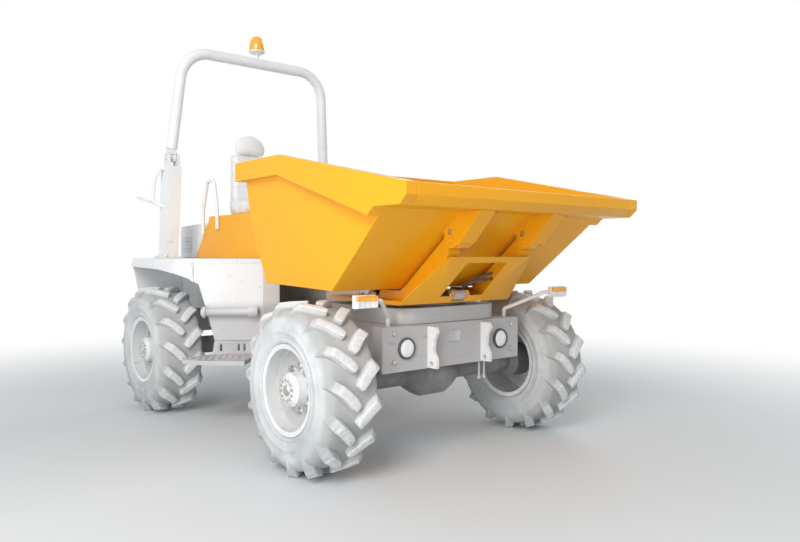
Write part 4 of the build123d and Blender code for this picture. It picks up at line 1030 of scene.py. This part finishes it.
# %% Flanges and pins
roll_y, hinge_z, hoop_x = 1.487, 2.250, 0.822
deck_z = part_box("roll_legs")[0].z
leg_x = 0.856
flange = block("flange", (-0.085, -0.125, 0), (0.085, 0.125, 0.014))
rounded(flange, 0.004, 2)
flanges = copies("roll_bar_flanges", flange, [
    at(side * leg_x, roll_y, deck_z + 0.0005) for side in (-1, 1)])
settle(flanges, light_paint, "rear_body")
bolts = copies("roll_bar_bolts", hex_bolt(0.024, 0.013), [
    at(side * leg_x + x, roll_y + y, deck_z + 0.0145) for side in (-1, 1) for x in (-0.068, 0.068)
    for y in (-0.106, 0.106)])
settle(bolts, bolt_zinc, "rear_body")
head_outline = (
    (0, 0), (0.028, 0), (0.028, 0.007), (0.025, 0.010), (0.013, 0.011), (0.011, 0.013), (0, 0.013))
heads = copies("hinge_pin_heads", spun("head", head_outline, 32), [
    at(side * (hoop_x + way * 0.0505), roll_y, hinge_z, 0, 0, way * 90)
    for side in (-1, 1) for way in (-1, 1)])
settle(heads, bolt_zinc, "rear_body")

# %% [markdown]
# ## Inside the swivel frame's window
#
# Through the window in the sloping panel one sees the tipping ram's foot on its pin, the oil ports and two
# short steel pipes. A port is a turned fitting with a hexagon; the pipes are smooth lines through a few
# guide points.

# %% Ram foot, ports and pipes
ram_y, ram_z = -1.390, 1.094
pin_cap = spun("cap", ((0, 0), (0.034, 0), (0.034, 0.006), (0.030, 0.010), (0, 0.010)), 32)
pins = copies("ram_pin_caps", pin_cap, [
    at(side * 0.0835, ram_y, ram_z, 0, 0, side * 90) for side in (-1, 1)])
settle(pins, bolt_zinc, "swivel_body")
port = spun("port", ((0, 0), (0.019, 0), (0.019, 0.012), (0.015, 0.014), (0.015, 0.030), (0.011, 0.032),
                     (0.011, 0.038), (0, 0.038)), 6)
ports = copies("ram_ports", port, [at(side * 0.034, ram_y + 0.105, ram_z + 0.010, 0, 0, side * 62)
                                   for side in (-1, 1)])
settle(ports, bolt_zinc, "tip_barrel_body")
lines = []
for side in (-1, 1):
    for n in range(2):
        out = side * (0.118 + 0.034 * n)
        lines.append(pipe("line", (
            (out, -1.300, 1.055), (out, -1.300, 1.120), (out + side * 0.02, -1.345, 1.165 + 0.01 * n),
            (side * 0.220, -1.410, 1.190 + 0.03 * n), (side * 0.292, -1.450, 1.200 + 0.04 * n)), 0.010))
settle(joined("swivel_lines", *lines), black_rubber, "swivel_body")

# %% Arm pins with keeper plates
arm_x = 0.330
keeper = rounded(block("keeper", (-0.022, -0.016, 0), (0.058, 0.016, 0.007)), 0.003, 2)
keepers = copies("skip_pin_keepers", keeper, [
    at(side * arm_x + way * 0.064, -1.740, 1.462, 0, 0, way * 90) for side in (-1, 1) for way in (-1, 1)])
settle(keepers, bolt_zinc, "skip_body")

# %% [markdown]
# ## Weld beads
#
# The skip is folded plate with ribs, brackets and rim bands welded on. A bead along each joint softens the
# corner between two plates and says how the thing is made. It is a thin tube whose size ripples, laid along
# the joint.

# %% Beads along the ribs
slope, floor_front_y, floor_front_z, floor_half = 0.837, -1.246, 1.142, 0.913


def slope_y(z):
    """How far forward the skip's front slope is at this height."""
    return floor_front_y - (z - floor_front_z) / slope


runs = []
for side in (-1, 1):
    for x in (side * arm_x - 0.063, side * arm_x + 0.063):
        runs.append(((x, slope_y(1.62), 1.62), (x, slope_y(1.51), 1.51)))
    wall = floor_half + 0.105 * (1.60 - floor_front_z)
    runs.append(((side * (wall + 0.006), slope_y(1.56) + 0.02, 1.585),
                 (side * (floor_half + 0.008), floor_front_y + 0.015, floor_front_z + 0.012)))
beads = joined("skip_welds", *[bead(a, b, 0.005) for a, b in runs])
settle(beads, yellow_paint, "skip_body", smooth=60)

# %% [markdown]
# ## The bonnet's louvres and latch
#
# The engine breathes through pressed louvres in the bonnet's sides and back, and a T-shaped latch holds it
# shut. Each louvre is a small scoop: a block whose lower edge is pulled out. Modelling one and copying it
# gives real shadows between the slats, which a bump could not do at this size.

# %% Louvres
bonnet_low, bonnet_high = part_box("bonnet")


def louvre(width):
    """A pressed scoop that stands on the XY plane and opens downwards, towards -Y."""
    scoop = block("scoop", (-width / 2, -0.012, -0.002), (width / 2, 0.012, 0.011))
    with editing(scoop):
        pick(lambda c, n: n.y > 0.9)
        bpy.ops.transform.resize(value=(0.94, 1, 0.12))
        bpy.ops.transform.translate(value=(0, 0, -0.005))
        sink(lambda c, n: n.y < -0.9, 0.0022, (0, 0.012, 0))
        bpy.ops.transform.resize(value=(0.97, 1, 0.28))
        bpy.ops.transform.translate(value=(0, 0, -0.0026))
    return rounded(scoop, 0.0008, 2, 50)


def stack(x, y, first_z, count, turn):
    """Places one above the other on a wall whose outside is turned this far from -Y."""
    return [Matrix.Translation((x, y, first_z + 0.034 * n)) @ Matrix.Rotation(math.radians(turn), 4, "Z")
            @ Matrix.Rotation(math.radians(90), 4, "X") for n in range(count)]


rear = [place for x in (-0.27, 0.27) for place in stack(x, bonnet_high.y, bonnet_low.z + 0.055, 6, 180)]
settle(copies("bonnet_louvres_rear", louvre(0.34), rear), light_paint, "bonnet_body")
flanks = [place for way in (-1, 1)
          for place in stack(way * bonnet_high.x, 1.905, bonnet_low.z + 0.075, 5, 90 * way)]
settle(copies("bonnet_louvres_sides", louvre(0.20), flanks), light_paint, "bonnet_body")

# %% Latch and hinges
rose = spun("rose", ((0, 0), (0.030, 0), (0.030, 0.004), (0.026, 0.007), (0, 0.007)), 32)
grip = rounded(block("grip", (-0.042, -0.007, 0.004), (0.042, 0.007, 0.020)), 0.005, 3)
latch = joined("bonnet_latch", rose, grip)
latch.data.transform(stack(0, bonnet_high.y, bonnet_low.z + 0.15, 1, 180)[0])
settle(latch, black_plastic, "bonnet_body")
knuckle = start(bpy.ops.mesh.primitive_cylinder_add, "knuckle", vertices=24, radius=0.010, depth=0.11)
rounded(knuckle, 0.002, 2)
knuckles = copies("bonnet_hinges", knuckle, [at(x, 1.706, 1.6605, 0, 0, 90) for x in (-0.36, 0.36)])
settle(knuckles, bolt_zinc, "rear_body")

# %% [markdown]
# ## The driver's controls
#
# A panel with three round gauges stands behind the wheel, levers for the skip rise from a pod beside the
# seat, and two pedals hang in the footwell. None of them moves here. A lever is a bent rod with a moulded
# knob: the rod follows a few guide points, and the knob is spun, which takes less than shaping a ball.

# %% Panel and gauge
panel = block("dash_panel", (-0.150, 0.575, 1.700), (0.150, 0.640, 1.775))
with editing(panel):
    pick(lambda c, n: n.y > 0.9)
    bpy.ops.transform.translate(value=(0, 0, -0.030))
    sink(lambda c, n: n.y > 0.9, 0.010, (0, -0.004, 0))
settle(rounded(panel, 0.006, 3), black_plastic, "rear_body")
gauge_outline = (
    (0, 0.004), (0.030, 0.004), (0.031, 0.007), (0.036, 0.008), (0.039, 0.004), (0.039, 0), (0, 0))
gauges = copies("dash_gauges", spun("gauge", gauge_outline, 40), [
    at(x, 0.632, 1.725, -72) for x in (-0.075, 0.0, 0.075)])
settle(gauges, white_lens, "rear_body")

# %% Levers and pedals
pod = block("lever_pod", (0.352, 1.010, 1.716), (0.478, 1.165, 1.790))
with editing(pod):
    pick(lambda c, n: n.z > 0.9)
    bpy.ops.transform.resize(value=(0.80, 0.72, 1))
settle(rounded(pod, 0.014, 4), black_plastic, "rear_body")
knob_outline = (
    (0, -0.022), (0.012, -0.022), (0.019, -0.006), (0.022, 0.008), (0.018, 0.022), (0.008, 0.029),
    (0, 0.030))
rods, knobs = [], []
lever_y = 1.095
for n, x in enumerate((0.395, 0.437)):
    top = Vector((x + 0.004, lever_y - 0.045 - 0.02 * n, 1.925))
    bends = ((x, lever_y, 1.780), (x, lever_y, 1.835), (x, lever_y - 0.030, 1.880))
    rods.append(pipe("rod", (*bends, top), 0.006))
    knobs.append(spun("knob", knob_outline, 28))
    knobs[n].data.transform(Matrix.Translation(top))
settle(joined("lever_rods", *rods), rod_chrome, "rear_body")
settle(joined("lever_knobs", *knobs), black_plastic, "rear_body", smooth=50)
pads = []
for x in (-0.20, 0.14):
    pad = block("pad", (x - 0.040, 0.730, 1.440), (x + 0.040, 0.745, 1.540))
    with editing(pad):
        sink(lambda c, n: n.y > 0.9, 0.008, (0, 0.004, 0))
    pads.append(rounded(pad, 0.003, 2))
    bends = ((x, 0.738, 1.49), (x, 0.700, 1.56), (x, 0.640, 1.60), (x, 0.507, 1.60))
    pads.append(pipe("arm", bends, 0.008))
settle(joined("pedals", *pads), black_rubber, "rear_body")

# %% [markdown]
# ## Steps, caps and lamps at the back
#
# The treads are pressed with raised rings that bite into a boot's sole. They stand up enough to show at the
# edge of a tread, so one ring is turned and copied, where a bump would stay flat. The fuel filler has a
# round cap on the left deck. The tail lamps are split lenses in a dark surround.

# %% Tread rings
ring = spun("ring", ((0.006, 0.0), (0.0075, 0.0035), (0.0105, 0.0040), (0.0125, 0.0)), 20)
tread_z, ring_gap, row_gap = 0.550, 0.048, 0.050
ring_places = []
for way in (-1, 1):
    for row in range(5):
        for n in range(9):
            x = 0.690 + ring_gap * n + 0.020 * (row % 2)
            y = 0.245 + row_gap * row + (x - 0.690) * 0.42
            if x < 1.10 and y < 0.530:
                ring_places.append(at(way * x, y, tread_z))
settle(copies("tread_rings", ring, ring_places), grey_paint, "rear_body")

# %% Filler cap
cap = spun("cap", ((0, 0.030), (0.030, 0.030), (0.044, 0.027), (0.047, 0.022), (0.047, 0.008),
                   (0.052, 0.006), (0.052, 0.0), (0, 0.0)), 40)
with editing(cap):
    pick(lambda c, n: abs(n.z) < 0.4 and 0.008 < c.z < 0.024)
    bpy.ops.mesh.inset(thickness=0.0012, depth=-0.0016, use_individual=True)
settle(copies("filler_cap", cap, [at(0.70, 0.80, deck_z)]), black_plastic, "rear_body")

# %% Tail lamps
lamp_low, lamp_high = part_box("tail_lamps")
for side, way in sides:
    x0, x1 = sorted((way * lamp_high.x, way * (lamp_high.x - 0.180)))
    surround = block(f"tail_lamp_case_{side}", (x0, lamp_low.y + 0.001, lamp_low.z),
                     (x1, lamp_high.y - 0.008, lamp_high.z))
    settle(rounded(surround, 0.006, 3), black_plastic, "rear_body")
    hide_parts("tail_lamps")
    for n, (name, finish) in enumerate((("red", red_lens), ("amber", amber_lens))):
        a = x0 + 0.006 + n * 0.085
        cover = block(f"tail_lens_{name}_{side}", (a, lamp_high.y - 0.010, lamp_low.z + 0.006),
                      (a + 0.083, lamp_high.y, lamp_high.z - 0.006))
        settle(rounded(cover, 0.004, 3), finish, "rear_body")

# %% [markdown]
# ## Bolts on the castings
#
# The axle housings are bolted together round the differential, and the slewing ring is bolted down from
# above. An array would need an object of its own to turn about, so one bolt is copied round each circle.

# %% Housing and ring bolts
for end in ("front", "rear"):
    low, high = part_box(f"{end}_axle")
    y, z = (low.y + high.y) / 2, (low.z + high.z) / 2
    flange_bolts = [Matrix.Translation((way * 0.0955, y, z)) @ Matrix.Rotation(math.radians(30 * n), 4, "X")
                    @ Matrix.Translation((0, 0, 0.151)) @ Matrix.Rotation(math.radians(90 * way), 4, "Y")
                    for way in (-1, 1) for n in range(12)]
    bolts = copies(f"housing_bolts_{end}", hex_bolt(0.018, 0.010), flange_bolts)
    settle(bolts, bolt_zinc, f"{end}_body")
ring_r, ring_y, slot_half = 0.372, -0.890, 0.09
angles = [math.radians(15 * n) for n in range(24)]
ring_bolts = [at(ring_r * math.sin(a), ring_y + ring_r * math.cos(a), 1.0693)
              for a in angles if abs(ring_r * math.sin(a)) > slot_half]
settle(copies("slew_bolts", hex_bolt(0.022, 0.010), ring_bolts), bolt_zinc, "swivel_body")
